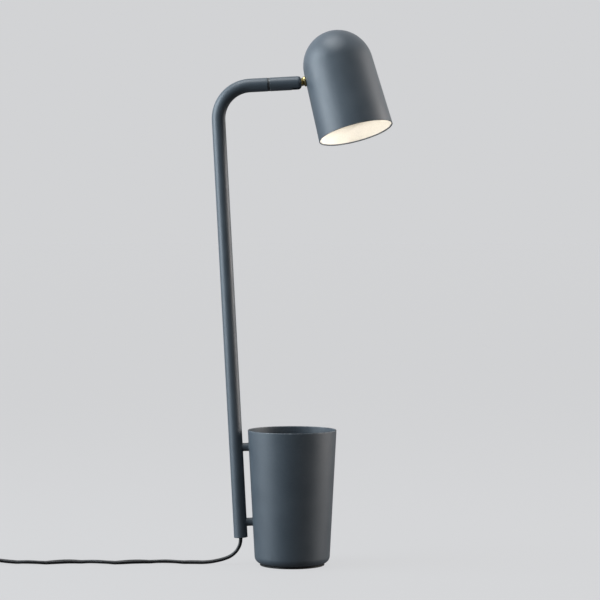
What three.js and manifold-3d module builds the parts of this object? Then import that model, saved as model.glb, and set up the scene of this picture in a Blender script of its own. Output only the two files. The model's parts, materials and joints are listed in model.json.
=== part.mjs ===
// A desk lamp that stands on a pen cup. A bent steel tube rises beside the cup, a sleeve turns on the
// end of its short arm, and a domed shade tilts on a small brass knuckle in the sleeve. A flat
// two-core cord leaves the foot of the tube and runs through a rocker switch to its plug.
// Millimetres, +Z up. The origin is the middle of the foot pad's underside, and +X runs along the arm.
import * as THREE from 'three';
import { mergeVertices } from 'three/addons/utils/BufferGeometryUtils.js';
import Module from 'manifold-3d';

const wasm = await Module();
wasm.setup();

// ---------------------------------------------------------------- driving dimensions, mm and degrees
const DEG = Math.PI / 180;
const GAP = 0.3; // between pieces that touch
const ARC_STEP = 25 * DEG; // of a rounded corner's facets

const PAD = { radius: 28.5, thickness: 1.3, pocketRadius: 5, pocketDepth: 1, sides: 32 };
const CUP = {
  bottomZ: 1.6, footRadius: 32.9, rimZ: 119.3, rimRadius: 39.1, wall: 1.2, corner: 6.5, sides: 40,
};
const BALLAST = { radius: 30, thickness: 8, chamfer: 4.5, thread: 2.5, sides: 28 };
const BALLAST_SCREW = { head: 4.2, headHeight: 0.8, from: 0.5, clear: 0.6 };
const MAT = { radius: 30.5, thickness: 1.5, sides: 32 };

const LEAN = 3; // of the stem from upright
const TUBE = {
  radius: 6, wall: 1, bend: 29, footX: -45.3, footZ: 24.3, height: 396.75, end: 44.8, sides: 20,
};
const GROMMET = { long: 10 };
const BOSS = { radius: 3.6, gap: 5.1, upperZ: 79.5, lowerZ: 13.3, thread: 2, depth: 4, sides: 16 };
const BOSS_TOOL = { inside: 2, near: 8, mid: 9, out: 14, far: 18, reach: 8, above: 5 };
const CUP_SCREW = { shank: 2, head: 3.8, headHeight: 2.6, length: 9.2, washer: 5, washerHeight: 1.5 };

const SEAM = { from: 45.1, to: 46.2, inset: 0.2 }; // the washer between tube and sleeve, along the arm
const SPIGOT = { radius: 4.7, bore: 2.4, from: 31, to: 62, sides: 20 };
const STOP = { at: 54, width: 3.6, floor: 3.5, halfAngle: 117, screw: 1.5, from: 3.9, to: 5.6, hole: 2 };
const SLEEVE = {
  radius: 6, from: 46.7, to: 74.8, corner: 3.7, bore: 5, boreTo: 62.6, wireHole: 2.2, sides: 24,
};
const PIVOT = 71.7; // of the tilt, along the arm
const SLOT = { width: 6.2, behind: 6.2, top: 5 };
const SWIVEL = 12; // at rest, of the head towards -Y
const TILT = 11.2; // at rest, of the shade's mouth away from the stem

const TONGUE = { thickness: 4.2, half: 3, hole: 1.8, wire: 1.3, wireAt: 3.4, sides: 20 };
const COLLAR = { radius: 4.5, from: 4.9, to: 6.28 };
const STUD = { radius: 3, end: 15.5, sides: 16 };
const NUT = { radius: 5.6, thick: 3.2 };
const LOCK_WASHER = { radius: 5, thick: 0.8 };
const PIN = { radius: 1.5, half: 5.5 };

const SHADE = {
  dome: 30.9, rise: 32, mouth: 33.1, length: 62.3, wall: 1, hinge: 6, gap: 6.58, sides: 40, domeSteps: 8,
};
const STRAP = {
  half: 5, thickness: 1.5, wallX: -29.1, foot: 12, bendT: -3, legX: -13, legEnd: 10, legT: -20,
  outerBend: 3, innerBend: 2, hole: 1.8,
};
const HOLDER = {
  radius: 14, top: -19.7, bottom: -2, chamfer: 2, screwX: 7, pin: 5, socket: 2.9, socketDeep: 7.5,
  thread: 1.8, threadDeep: 5.5, sides: 24,
};
const HOLDER_SCREW = { head: 2.8, headHeight: 1.8, shank: 1.5, length: 5 };
const BULB = {
  face: 47, rim: 25, neck: 14, base: -1.7, neckLength: 6, rimLength: 6, lens: 2, bezel: 1.5, sides: 28,
};
const BULB_PIN = { head: 2.5, shank: 1.5, end: 6.6, step: 4.4 };
const HEAD_WIRE = { radius: 0.9, spread: 3 };

const CORD = { thick: 3, wide: 5, sides: 8 };
const SWITCH = {
  x: -298, y: 4, half: 30, narrow: 6, wide: 11, waist: 19, height: 13, split: 6, cordZ: 4.4, wall: 1.6,
  low: 0.1, postX: 15, postY: 6, post: 3.8, screw: 1.6, pocket: 2.9, pocketTop: 2.4,
};
const SWITCH_SCREW = { head: 2.5, headHeight: 1.7, shank: 1.3, from: 0.4, past: 4.2 };
const TERMINAL = { x: [12, -4], half: 4, y: [-7.6, -3.4], z: [2, 5.6] };
const ROCKER = { z: 10.4, half: 8.6, width: 4.2, low: 2.4, high: 3.5, swing: 14, keel: 2.6, clear: 0.8 };
const COIL = { x: -388, y: 14, inner: 19.4, outer: 34.6, low: 0.9, high: 11.3, chamfer: 1.4 };
const TIE = { thickness: 0.5, width: 7, sideClear: 0.6, clear: 0.25, corner: 1.4, angle: 200 };
const PLUG = {
  x: -304, z: 6.85, half: 17.6, thick: 13.7, long: 36, nose: 14, tail: 6, relief: 20, pin: 2,
  pinLong: 19, core: 1.1, sleeve: 10, spacing: 18.6,
};
const RELIEF = { thin: 3.2, thick: 4.8 };

// Where the cord runs between the tube's foot and the switch, and between the switch and the coil.
const LEAD_ROUTE = [
  [-45.3, 0, 24.0], [-45.9, 0.2, 18.7], [-47.8, 0.5, 14.2], [-50.8, 0.9, 10.3], [-54.8, 1.3, 7.3],
  [-59.6, 1.7, 5.2], [-65.6, 2.2, 3.5], [-72.6, 2.7, 2.2], [-81.0, 3.4, 1.6], [-90.0, 4.0, 1.55],
  [-100.0, 4.9, 1.55], [-112.0, 6.7, 1.55], [-125.0, 7.3, 1.55], [-138.0, 4.6, 1.55], [-152.0, 1.5, 1.55],
  [-166.0, 2.4, 1.55], [-180.0, 5.8, 1.55], [-194.0, 6.2, 1.55], [-208.0, 2.9, 1.55], [-222.0, 1.0, 1.55],
  [-234.0, 2.2, 1.55], [-246.0, 3.9, 1.9], [-257.0, 4.2, 2.9], [-267.7, 4.0, 4.4],
];
const LINK_ROUTE = [
  [-328.3, 4.0, 4.4], [-335.0, 3.4, 4.2], [-342.5, 0.3, 3.9], [-349.5, -5.6, 3.7],
  [-356.5, -12.2, 3.5], [-363.3, -17.0, 3.4], [-370.5, -18.8, 3.3],
];

// --------------------------------------------------------------------------------------- finishes
const FINISHES = {
  blueGrey: { color: 0x4c5863, roughness: 0.45, metalness: 0.2 },
  innerWhite: { color: 0xf2ede2, roughness: 0.6, metalness: 0 },
  steel: { color: 0x9a9da1, roughness: 0.35, metalness: 1 },
  brass: { color: 0x8c7a45, roughness: 0.35, metalness: 1 },
  black: { color: 0x121314, roughness: 0.55, metalness: 0 },
  felt: { color: 0x2a2c2e, roughness: 0.95, metalness: 0 },
  ceramic: { color: 0xe8e4da, roughness: 0.35, metalness: 0 },
  lens: { color: 0xfff6e6, roughness: 0.3, metalness: 0 },
};

/** A named sub-part with a material of its own. */
function piece(name, geometry, finish) {
  const mesh = new THREE.Mesh(geometry, new THREE.MeshStandardMaterial(FINISHES[finish]));
  mesh.name = name;
  return mesh;
}

// ------------------------------------------------------------------------------------ cut and join
/** The manifold solid of a closed geometry. */
function solidOf(geometry) {
  const bare = geometry.clone();
  bare.deleteAttribute('normal');
  bare.deleteAttribute('uv');
  const merged = mergeVertices(bare);
  const index = merged.index.array;
  const corners = [];
  for (let i = 0; i < index.length; i += 3) {
    const [a, b, c] = index.slice(i, i + 3);
    if (a !== b && b !== c && c !== a) corners.push(a, b, c);
  }
  const vertProperties = new Float32Array(merged.attributes.position.array);
  const triVerts = new Uint32Array(corners);
  return new wasm.Manifold(new wasm.Mesh({ numProp: 3, vertProperties, triVerts }));
}

/** The geometry of a manifold solid. */
function geometryOf(solid) {
  const mesh = solid.getMesh();
  const geometry = new THREE.BufferGeometry();
  geometry.setAttribute('position', new THREE.BufferAttribute(mesh.vertProperties, 3));
  geometry.setIndex(new THREE.BufferAttribute(mesh.triVerts, 1));
  geometry.computeVertexNormals();
  return geometry;
}

const join = (...bodies) => geometryOf(bodies.map(solidOf).reduce((all, body) => all.add(body)));
const cut = (body, ...tools) =>
  geometryOf(tools.reduce((rest, tool) => rest.subtract(solidOf(tool)), solidOf(body)));
const common = (one, other) => geometryOf(solidOf(one).intersect(solidOf(other)));

// ------------------------------------------------------------------------------------ basic shapes
/** Points of the outline through corners [x, y, radius], each rounded where it has a radius. */
function outline(corners, closed = false) {
  const points = [];
  corners.forEach(([x, y, radius], i) => {
    const corner = new THREE.Vector2(x, y);
    if (!radius || (!closed && (i === 0 || i === corners.length - 1))) {
      points.push(corner);
      return;
    }
    const [ax, ay] = corners[(i + corners.length - 1) % corners.length];
    const [cx, cy] = corners[(i + 1) % corners.length];
    const back = new THREE.Vector2(ax - x, ay - y).normalize();
    const on = new THREE.Vector2(cx - x, cy - y).normalize();
    const half = Math.acos(back.dot(on)) / 2;
    const centre = back.clone().add(on).normalize().multiplyScalar(radius / Math.sin(half)).add(corner);
    const from = back.clone().multiplyScalar(radius / Math.tan(half)).add(corner).sub(centre);
    const to = on.clone().multiplyScalar(radius / Math.tan(half)).add(corner).sub(centre);
    const turn = Math.atan2(from.cross(to), from.dot(to));
    const steps = Math.max(2, Math.ceil(Math.abs(turn) / ARC_STEP));
    for (let k = 0; k <= steps; k += 1) {
      points.push(from.clone().rotateAround(new THREE.Vector2(), (turn * k) / steps).add(centre));
    }
  });
  return points;
}

/** A turned solid about Z. Its profile runs up the outside, from the axis back to the axis. */
const turned = (profile, sides) => new THREE.LatheGeometry(profile, sides).rotateX(Math.PI / 2);

/** A turned ring about Z, between two radii and two heights. */
const turnedRing = (inner, outer, low, high, sides) =>
  turned(outline([[inner, low], [outer, low], [outer, high], [inner, high], [inner, low]]), sides);

/** A rod about Z. */
const rod = (radius, low, high, sides = 12) =>
  turned(outline([[0, low], [radius, low], [radius, high], [0, high]]), sides);

/** A headed screw about Z: the head from low to low + headHeight, the shank on to high. */
function screw({ head, headHeight, shank }, low, high) {
  const under = low + headHeight;
  const side = [[0, low], [head, low], [head, under], [shank, under], [shank, high], [0, high]];
  return turned(outline(side), 12);
}

const alongX = (geometry) => geometry.rotateY(Math.PI / 2);
const alongY = (geometry) => geometry.rotateX(-Math.PI / 2);

/** A block between two opposite corners. */
function block([x0, y0, z0], [x1, y1, z1]) {
  const solid = new THREE.BoxGeometry(x1 - x0, y1 - y0, z1 - z0);
  return solid.translate((x0 + x1) / 2, (y0 + y1) / 2, (z0 + z1) / 2);
}

/** A plate with a closed outline in XY, from low to high, with holes through it. */
function plate(points, low, high, holes = []) {
  const shape = new THREE.Shape(points);
  shape.holes = holes.map((hole) => new THREE.Path(hole));
  const solid = new THREE.ExtrudeGeometry(shape, { depth: high - low, bevelEnabled: false });
  return solid.translate(0, 0, low);
}

/** A regular outline round the origin. */
function circle(radius, sides, flatten = 1) {
  return Array.from({ length: sides }, (_, i) => {
    const angle = ((i + 0.5) * 2 * Math.PI) / sides;
    return new THREE.Vector2(radius * Math.cos(angle), radius * flatten * Math.sin(angle));
  });
}

/** A path whose rings stand on its own stations, with the section's X kept as near to side as it can be. */
class StationPath extends THREE.Curve {
  constructor(stations, side) {
    super();
    this.stations = stations;
    this.side = side;
  }

  getPoint(t, target = new THREE.Vector3()) {
    const place = t * (this.stations.length - 1);
    const index = Math.min(Math.floor(place), this.stations.length - 2);
    return target.lerpVectors(this.stations[index], this.stations[index + 1], place - index);
  }

  getUtoTmapping(u) {
    return u;
  }

  computeFrenetFrames(segments) {
    const runs = this.stations.slice(1).map((point, i) => point.clone().sub(this.stations[i]).normalize());
    const frames = { tangents: [], normals: [], binormals: [] };
    let side = this.side.clone();
    for (let i = 0; i <= segments; i += 1) {
      const tangent = runs[Math.max(i - 1, 0)].clone().add(runs[Math.min(i, segments - 1)]).normalize();
      side = side.clone().addScaledVector(tangent, -side.dot(tangent)).normalize();
      frames.tangents.push(tangent);
      frames.normals.push(side);
      frames.binormals.push(tangent.clone().cross(side));
    }
    return frames;
  }
}

/** A section carried along stations. */
function sweep(section, stations, side, holes = []) {
  const shape = new THREE.Shape(section);
  shape.holes = holes.map((hole) => new THREE.Path(hole));
  const extrudePath = new StationPath(stations, side);
  return new THREE.ExtrudeGeometry(shape, { steps: stations.length - 1, bevelEnabled: false, extrudePath });
}

/** Stations on the smooth curve through route points. */
function smooth(route, steps) {
  const points = route.map((p) => new THREE.Vector3(...p));
  return new THREE.CatmullRomCurve3(points, false, 'centripetal').getSpacedPoints(steps);
}

const ACROSS = new THREE.Vector3(0, 1, 0);

// ---------------------------------------------------------------------------------------- the frames
const lamp = new THREE.Group();
const stem = new THREE.Group(); // from the tube's foot, +Z up the tube and +X along the arm
stem.position.set(TUBE.footX, 0, TUBE.footZ);
stem.rotation.y = -LEAN * DEG;
stem.updateMatrix();
const swivel = new THREE.Group(); // from the tilt's pivot, +X along the arm
swivel.position.set(PIVOT, 0, TUBE.height);
swivel.rotation.x = -SWIVEL * DEG;
const head = new THREE.Group(); // from the pivot, +X towards the shade, -Z the way its mouth faces
head.rotation.y = -TILT * DEG;
const shade = new THREE.Group(); // from the dome's centre, +Z the way the mouth faces
const SHADE_SLOPE = (SHADE.mouth - SHADE.dome) / SHADE.length;
shade.position.set(SHADE.gap + SHADE.dome + SHADE_SLOPE * SHADE.hinge, 0, SHADE.hinge);
shade.rotation.x = Math.PI;
lamp.add(stem);
stem.add(swivel);
swivel.add(head);
head.add(shade);

// --------------------------------------------------------------------------------------- the pen cup
const CUP_SLOPE = (CUP.rimRadius - CUP.footRadius) / (CUP.rimZ - CUP.bottomZ);

/** The radius of the cup's outside at a height, as if it had no rounded corner. */
const cupRadius = (z) => CUP.footRadius + CUP_SLOPE * (z - CUP.bottomZ);

/** A cup-shaped solid, inset from the cup's outside and reaching up to a height. */
function cupBlank(inset, top) {
  const low = CUP.bottomZ + inset;
  return turned(outline([
    [0, low], [cupRadius(low) - inset, low, CUP.corner - inset], [cupRadius(top) - inset, top], [0, top],
  ]), CUP.sides);
}

/** A tool along a cup screw's line, in the lamp's frame. */
const onCupScrew = (z, geometry) => alongX(geometry).translate(0, 0, z).applyMatrix4(stem.matrix);

function cupShell() {
  const low = CUP.bottomZ + CUP.wall;
  const shell = turned(outline([
    [0, CUP.bottomZ], [CUP.footRadius, CUP.bottomZ, CUP.corner], [CUP.rimRadius, CUP.rimZ],
    [CUP.rimRadius - CUP.wall, CUP.rimZ], [cupRadius(low) - CUP.wall, low, CUP.corner - CUP.wall], [0, low],
  ]), CUP.sides);
  const hole = rod(CUP_SCREW.shank + GAP, BOSS_TOOL.mid, BOSS_TOOL.far);
  const holes = [BOSS.upperZ, BOSS.lowerZ].map((z) => onCupScrew(z, hole.clone()));
  return cut(shell, ...holes, rod(BALLAST.thread + GAP, 0, low + 1));
}

function footPad() {
  const { radius, thickness, pocketRadius, pocketDepth } = PAD;
  return turned(outline([
    [0, 0], [radius, 0], [radius, thickness], [pocketRadius, thickness],
    [pocketRadius, thickness - pocketDepth], [0, thickness - pocketDepth],
  ]), PAD.sides);
}

function addCup() {
  const floor = CUP.bottomZ + CUP.wall + GAP;
  const disc = turned(outline([
    [BALLAST.thread + GAP, floor], [BALLAST.radius - BALLAST.chamfer, floor],
    [BALLAST.radius, floor + BALLAST.chamfer], [BALLAST.radius, floor + BALLAST.thickness],
    [BALLAST.thread + GAP, floor + BALLAST.thickness], [BALLAST.thread + GAP, floor],
  ]), BALLAST.sides);
  const matLow = floor + BALLAST.thickness + GAP;
  const { head: screwHead, headHeight, from, clear } = BALLAST_SCREW;
  const fastener = screw({ head: screwHead, headHeight, shank: BALLAST.thread }, from, matLow - clear);
  lamp.add(
    piece('foot_pad', footPad(), 'black'),
    piece('cup_shell', cupShell(), 'blueGrey'),
    piece('ballast_disc', disc, 'steel'),
    piece('ballast_screw', fastener, 'steel'),
    piece('cup_mat', rod(MAT.radius, matLow, matLow + MAT.thickness, MAT.sides), 'felt'),
  );
}

// ---------------------------------------------------------------------- the bosses that hold the stem
/** One boss with its screw and its saddle washer, on the stem's own frame. */
function addBoss(name, z) {
  const toStem = stem.matrix.clone().invert();
  const { inside: start, near, mid, out, far, reach, above } = BOSS_TOOL;
  const wallIn = TUBE.radius + BOSS.gap + CUP.wall;
  const washerTop = wallIn + GAP + CUP_SCREW.washerHeight;
  const level = (geometry) => alongX(geometry).translate(0, 0, z);
  const outside = cupBlank(-GAP, CUP.rimZ + above).applyMatrix4(toStem);
  const inside = cupBlank(CUP.wall + GAP, CUP.rimZ + above).applyMatrix4(toStem);
  const boss = cut(
    level(rod(BOSS.radius, start, out, BOSS.sides)),
    rod(TUBE.radius + GAP, z - reach, z + reach, TUBE.sides),
    outside,
    level(rod(BOSS.thread + GAP, wallIn - CUP.wall - BOSS.depth, far)),
  );
  const blank = common(level(rod(CUP_SCREW.washer, mid, washerTop, BOSS.sides)), inside);
  const washer = cut(blank, level(rod(CUP_SCREW.shank + GAP, near, far)));
  const fastener = screw(CUP_SCREW, 0, CUP_SCREW.length);
  const headTop = washerTop + GAP + CUP_SCREW.headHeight;
  stem.add(
    piece(`${name}_boss`, boss, 'blueGrey'),
    piece(`${name}_saddle_washer`, washer, 'steel'),
    piece(`${name}_cup_screw`, fastener.rotateY(-Math.PI / 2).translate(headTop, 0, z), 'steel'),
  );
}

// -------------------------------------------------------------------------------- the tube and its end
/** Stations of the tube's middle line, from its foot to its far end. */
function tubeLine(from, to, bendSteps = 8) {
  const line = [new THREE.Vector3(0, 0, from)];
  for (let i = 0; i <= bendSteps; i += 1) {
    const angle = (i / bendSteps) * (Math.PI / 2);
    const x = TUBE.bend * (1 - Math.cos(angle));
    line.push(new THREE.Vector3(x, 0, TUBE.height - TUBE.bend * (1 - Math.sin(angle))));
  }
  line.push(new THREE.Vector3(to, 0, TUBE.height));
  return line;
}

/** The spigot that the sleeve turns on, with the part-turn groove that stops it. */
function spigot() {
  const body = turnedRing(SPIGOT.bore, SPIGOT.radius, SPIGOT.from, SPIGOT.to, SPIGOT.sides);
  const sector = new THREE.Shape();
  const half = STOP.halfAngle * DEG;
  sector.absarc(0, 0, SPIGOT.radius + 1, Math.PI / 2 - half, Math.PI / 2 + half, false);
  sector.absarc(0, 0, STOP.floor, Math.PI / 2 + half, Math.PI / 2 - half, true);
  const settings = { depth: STOP.width, bevelEnabled: false, curveSegments: 10 };
  const groove = new THREE.ExtrudeGeometry(sector, settings);
  return alongX(cut(body, groove.translate(0, 0, STOP.at - STOP.width / 2)));
}

function addStem() {
  const bore = TUBE.radius - TUBE.wall;
  const cordHole = circle(CORD.wide / 2 + GAP, 12, (CORD.thick + 2 * GAP) / (CORD.wide + 2 * GAP));
  const grommet = plate(circle(bore - GAP, TUBE.sides), 0, GROMMET.long, [cordHole]).rotateZ(Math.PI / 2);
  const outer = circle(TUBE.radius, TUBE.sides);
  const tube = sweep(outer, tubeLine(0, TUBE.end), ACROSS, [circle(bore, TUBE.sides)]);
  const section = circle(CORD.wide / 2, CORD.sides, CORD.thick / CORD.wide);
  const level = (geometry) => geometry.translate(0, 0, TUBE.height);
  const { from, to, inset } = SEAM;
  const washer = turnedRing(SPIGOT.radius + GAP, TUBE.radius - inset, from, to, TUBE.sides);
  stem.add(
    piece('stem_tube', tube, 'blueGrey'),
    piece('cord_grommet', grommet, 'black'),
    piece('inner_lead', sweep(section, tubeLine(0, SPIGOT.from - 2, 6), ACROSS), 'black'),
    piece('swivel_spigot', level(spigot()), 'steel'),
    piece('swivel_washer', level(alongX(washer)), 'steel'),
  );
}

// ------------------------------------------------------------------------------------------ the sleeve
/** The sleeve, from the pivot: bored, with a slot for the knuckle that is open below and at its end. */
function sleeve() {
  const [from, to, boreTo] = [SLEEVE.from - PIVOT, SLEEVE.to - PIVOT, SLEEVE.boreTo - PIVOT];
  const body = alongX(turned(outline([
    [SLEEVE.bore, from], [SLEEVE.radius, from], [SLEEVE.radius, to, SLEEVE.corner], [SLEEVE.wireHole, to],
    [SLEEVE.wireHole, boreTo], [SLEEVE.bore, boreTo], [SLEEVE.bore, from],
  ]), SLEEVE.sides));
  const past = SLEEVE.radius + 2;
  return cut(
    body,
    block([-SLOT.behind, -SLOT.width / 2, -past], [to + 2, SLOT.width / 2, SLOT.top]),
    alongY(rod(PIN.radius + GAP, -past, past)),
    alongY(rod(STOP.screw + GAP, STOP.hole, past)).translate(STOP.at - PIVOT, 0, 0),
  );
}

function addSleeve() {
  const half = TONGUE.thickness / 2;
  const thick = SLOT.width / 2 - half - 2 * GAP;
  const washer = (from) => alongY(turnedRing(PIN.radius + GAP, TONGUE.half, from, from + thick, 14));
  const grub = alongY(rod(STOP.screw, STOP.from, STOP.to));
  swivel.add(
    piece('swivel_sleeve', sleeve(), 'blueGrey'),
    piece('swivel_stop_screw', grub.translate(STOP.at - PIVOT, 0, 0), 'steel'),
    piece('tilt_pin', alongY(rod(PIN.radius, -PIN.half, PIN.half)), 'steel'),
    piece('tilt_washer_front', washer(-SLOT.width / 2 + GAP), 'steel'),
    piece('tilt_washer_back', washer(half + GAP), 'steel'),
  );
}

// ----------------------------------------------------------------------------------------- the knuckle
/** The brass knuckle: a tongue with an eye, a collar against the shade and a hollow stud through it. */
function knuckle() {
  const { thickness, half, hole, wire, wireAt } = TONGUE;
  const eye = alongY(rod(half, -thickness / 2, thickness / 2, TONGUE.sides));
  const shank = block([0, -thickness / 2, -half], [COLLAR.from + 0.2, thickness / 2, half]);
  const collar = alongX(rod(COLLAR.radius, COLLAR.from, COLLAR.to, TONGUE.sides));
  const stud = alongX(rod(STUD.radius, COLLAR.to - 0.5, STUD.end, STUD.sides));
  return cut(
    join(eye, shank, collar, stud),
    alongY(rod(hole, -thickness, thickness)),
    alongX(rod(wire, wireAt, STUD.end + 1)),
    rod(wire, 0, half + 1).translate(wireAt, 0, 0),
  );
}

function addKnuckle() {
  const strapIn = shade.position.x + STRAP.wallX + STRAP.thickness;
  const washerAt = strapIn + GAP;
  const nutAt = washerAt + LOCK_WASHER.thick + GAP;
  const nutEnd = nutAt + NUT.thick;
  const bore = STUD.radius + GAP;
  const nut = cut(plate(circle(NUT.radius, 6), nutAt, nutEnd), rod(bore, nutAt - 1, nutEnd + 1, STUD.sides));
  const washer = turnedRing(bore, LOCK_WASHER.radius, washerAt, washerAt + LOCK_WASHER.thick, STUD.sides);
  head.add(
    piece('knuckle', knuckle(), 'brass'),
    piece('knuckle_lock_washer', alongX(washer), 'steel'),
    piece('knuckle_nut', alongX(nut), 'steel'),
  );
}

// ------------------------------------------------------------------------------- the shade and its lamp
/** Profile of a dome that runs on into a slightly widening wall, from its top down to the mouth. */
function shadeProfile(inset) {
  const radius = SHADE.dome - inset;
  const rise = SHADE.rise - inset;
  const last = Math.PI / 2 - Math.atan(SHADE_SLOPE);
  const points = [];
  for (let i = 0; i <= SHADE.domeSteps; i += 1) {
    const angle = (last * i) / SHADE.domeSteps;
    points.push(new THREE.Vector2(radius * Math.sin(angle), -rise * Math.cos(angle)));
  }
  points.push(new THREE.Vector2(SHADE.mouth - inset, SHADE.length));
  return points;
}

function shadeShell() {
  const shell = turned([...shadeProfile(0), ...shadeProfile(SHADE.wall).reverse()], SHADE.sides);
  const studHole = alongX(rod(STUD.radius + GAP, -SHADE.mouth - 3, -SHADE.dome + 5));
  return cut(shell, studHole.translate(0, 0, SHADE.hinge));
}

/** The bent strap from the stud to the back of the lamp holder. */
function holderBracket() {
  const { half, thickness, wallX, foot, bendT, legX, legEnd, legT, outerBend, innerBend, hole } = STRAP;
  const side = outline([
    [wallX, foot], [wallX, bendT, outerBend], [legX, legT - thickness, outerBend],
    [legEnd, legT - thickness], [legEnd, legT], [legX + thickness / 2, legT, innerBend],
    [wallX + thickness, bendT + thickness / 2, innerBend], [wallX + thickness, foot],
  ], true);
  const strap = plate(side, -half, half).rotateX(Math.PI / 2);
  const holes = [-HOLDER.screwX, HOLDER.screwX].map((x) => rod(hole, legT - 4, legT + 2).translate(x, 0, 0));
  const studHole = alongX(rod(STUD.radius + GAP, wallX - 2, wallX + 4)).translate(0, 0, SHADE.hinge);
  return cut(strap, studHole, ...holes);
}

function lampHolder() {
  const { radius, top, bottom, chamfer, screwX, pin, socket, socketDeep, thread, threadDeep } = HOLDER;
  const body = turned(outline([
    [0, top], [radius - chamfer, top], [radius, top + chamfer], [radius, bottom], [0, bottom],
  ]), HOLDER.sides);
  const sockets = [-pin, pin].map((y) => rod(socket, bottom - socketDeep, bottom + 1).translate(0, y, 0));
  const threads = [-screwX, screwX].map((x) => rod(thread, top - 1, top + threadDeep).translate(x, 0, 0));
  return cut(body, ...sockets, ...threads);
}

function addBulb() {
  const { face, rim, neck, base, neckLength, rimLength, lens, bezel, sides } = BULB;
  const { head: pinHead, shank, end, step } = BULB_PIN;
  const shoulder = face - lens - GAP;
  const body = turned(outline([
    [0, base], [neck, base, 1], [neck, base + neckLength, 4], [rim, shoulder - rimLength, 6],
    [rim, shoulder], [0, shoulder],
  ]), sides);
  const edge = rim - bezel;
  const glass = turned(outline([
    [0, face - lens], [edge, face - lens], [edge - 0.5, face - 0.5], [0, face],
  ]), sides);
  const pin = turned(outline([
    [0, base - end], [pinHead, base - end], [pinHead, base - step], [shank, base - step],
    [shank, base - GAP], [0, base - GAP],
  ]), 12);
  shade.add(
    piece('bulb_body', body, 'ceramic'),
    piece('bulb_lens', glass, 'lens'),
    piece('bulb_pin_front', pin.clone().translate(0, HOLDER.pin, 0), 'steel'),
    piece('bulb_pin_back', pin.clone().translate(0, -HOLDER.pin, 0), 'steel'),
  );
}

function addShade() {
  const screwLow = STRAP.legT - STRAP.thickness - GAP - HOLDER_SCREW.headHeight;
  const fastener = screw(HOLDER_SCREW, screwLow, HOLDER.top + HOLDER_SCREW.length);
  const studEnd = STUD.end + GAP - shade.position.x;
  const wire = (y) => sweep(circle(HEAD_WIRE.radius, 6), smooth([
    [studEnd + 0.5, y / 2.4, SHADE.hinge], [studEnd + 1.8, y / 2.2, 5.8], [-19.3, y, -1], [-17.8, y, -8],
    [-15.6, y, -10.5], [-14.2, y, -10.6],
  ], 12), ACROSS);
  shade.add(
    piece('shade_shell', shadeShell(), 'blueGrey'),
    piece('holder_bracket', holderBracket(), 'steel'),
    piece('lamp_holder', lampHolder(), 'ceramic'),
    piece('holder_screw_near', fastener.clone().translate(-HOLDER.screwX, 0, 0), 'steel'),
    piece('holder_screw_far', fastener.clone().translate(HOLDER.screwX, 0, 0), 'steel'),
    piece('head_wire_live', wire(HEAD_WIRE.spread), 'black'),
    piece('head_wire_neutral', wire(-HEAD_WIRE.spread), 'black'),
  );
  addBulb();
}

// -------------------------------------------------------------------------------------------- the cord
/** One stretch of the flat cord, its wide side lying across its run. */
const cordStretch = (route, steps) =>
  sweep(circle(CORD.wide / 2, CORD.sides, CORD.thick / CORD.wide), smooth(route, steps), ACROSS);

/** The tie round the coil's section, as a band with rounded corners. */
function coilTie() {
  const { thickness, width, sideClear, clear, corner, angle } = TIE;
  const [inner, outer] = [COIL.inner - sideClear, COIL.outer + sideClear];
  const [low, high] = [COIL.low - clear, COIL.high + clear];
  const band = (grow) => outline([
    [inner - grow, low - grow, corner + grow], [outer + grow, low - grow, corner + grow],
    [outer + grow, high + grow, corner + grow], [inner - grow, high + grow, corner + grow],
  ], true);
  const loop = plate(band(thickness), -width / 2, width / 2, [band(0)]).rotateX(Math.PI / 2);
  return loop.rotateZ(angle * DEG).translate(COIL.x, COIL.y, 0);
}

function addCord() {
  const { x, y, inner, outer, low, high, chamfer: c } = COIL;
  const section = outline([
    [inner, low + c], [inner + c, low], [outer - c, low], [outer, low + c], [outer, high - c],
    [outer - c, high], [inner + c, high], [inner, high - c], [inner, low + c],
  ]);
  const plugY = y + outer - CORD.thick / 2;
  const reliefEnd = PLUG.x - PLUG.long - PLUG.relief;
  const tailInner = outer - CORD.thick / 2 - CORD.wide / 2;
  const tailFrom = x + Math.sqrt((outer + GAP) ** 2 - (tailInner - GAP) ** 2) + 1;
  const tail = cordStretch([
    [tailFrom, plugY, 7.6], [(tailFrom + reliefEnd) / 2, plugY, 7.2], [reliefEnd - GAP, plugY, PLUG.z],
  ], 4);
  lamp.add(
    piece('cord_lead', cordStretch(LEAD_ROUTE, 44), 'black'),
    piece('cord_link', cordStretch(LINK_ROUTE, 8), 'black'),
    piece('cord_coil', turned(section, 32).translate(x, y, 0), 'black'),
    piece('cord_tail', tail, 'black'),
    piece('coil_tie', coilTie(), 'felt'),
  );
  return plugY;
}

// -------------------------------------------------------------------------------------- the cord switch
/** The switch's outline, wide at its middle and narrow where the cord goes in. */
function switchOutline(inset) {
  const [end, narrow, wide] = [SWITCH.half - inset, SWITCH.narrow - inset, SWITCH.wide - inset];
  const { waist } = SWITCH;
  const quarter = [[end, narrow, 2], [waist, wide, 8], [-waist, wide, 8], [-end, narrow, 2]];
  return outline([...quarter, ...quarter.map(([x, y, radius]) => [-x, -y, radius])], true);
}

/** One half of the switch's shell, from low to high and hollow between two heights, with its posts. */
function switchHalf(low, high, hollowLow, hollowHigh, postLow, postHigh) {
  const hollow = plate(switchOutline(SWITCH.wall), hollowLow, hollowHigh);
  const walls = cut(plate(switchOutline(0), low, high), hollow);
  return join(walls, ...atPosts(() => rod(SWITCH.post, postLow, postHigh, 16)));
}

/** A shape at each of the switch's two posts. */
function atPosts(shape) {
  const { postX, postY } = SWITCH;
  return [[-postX, -postY], [postX, postY]].map(([x, y]) => shape().translate(x, y, 0));
}

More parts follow.
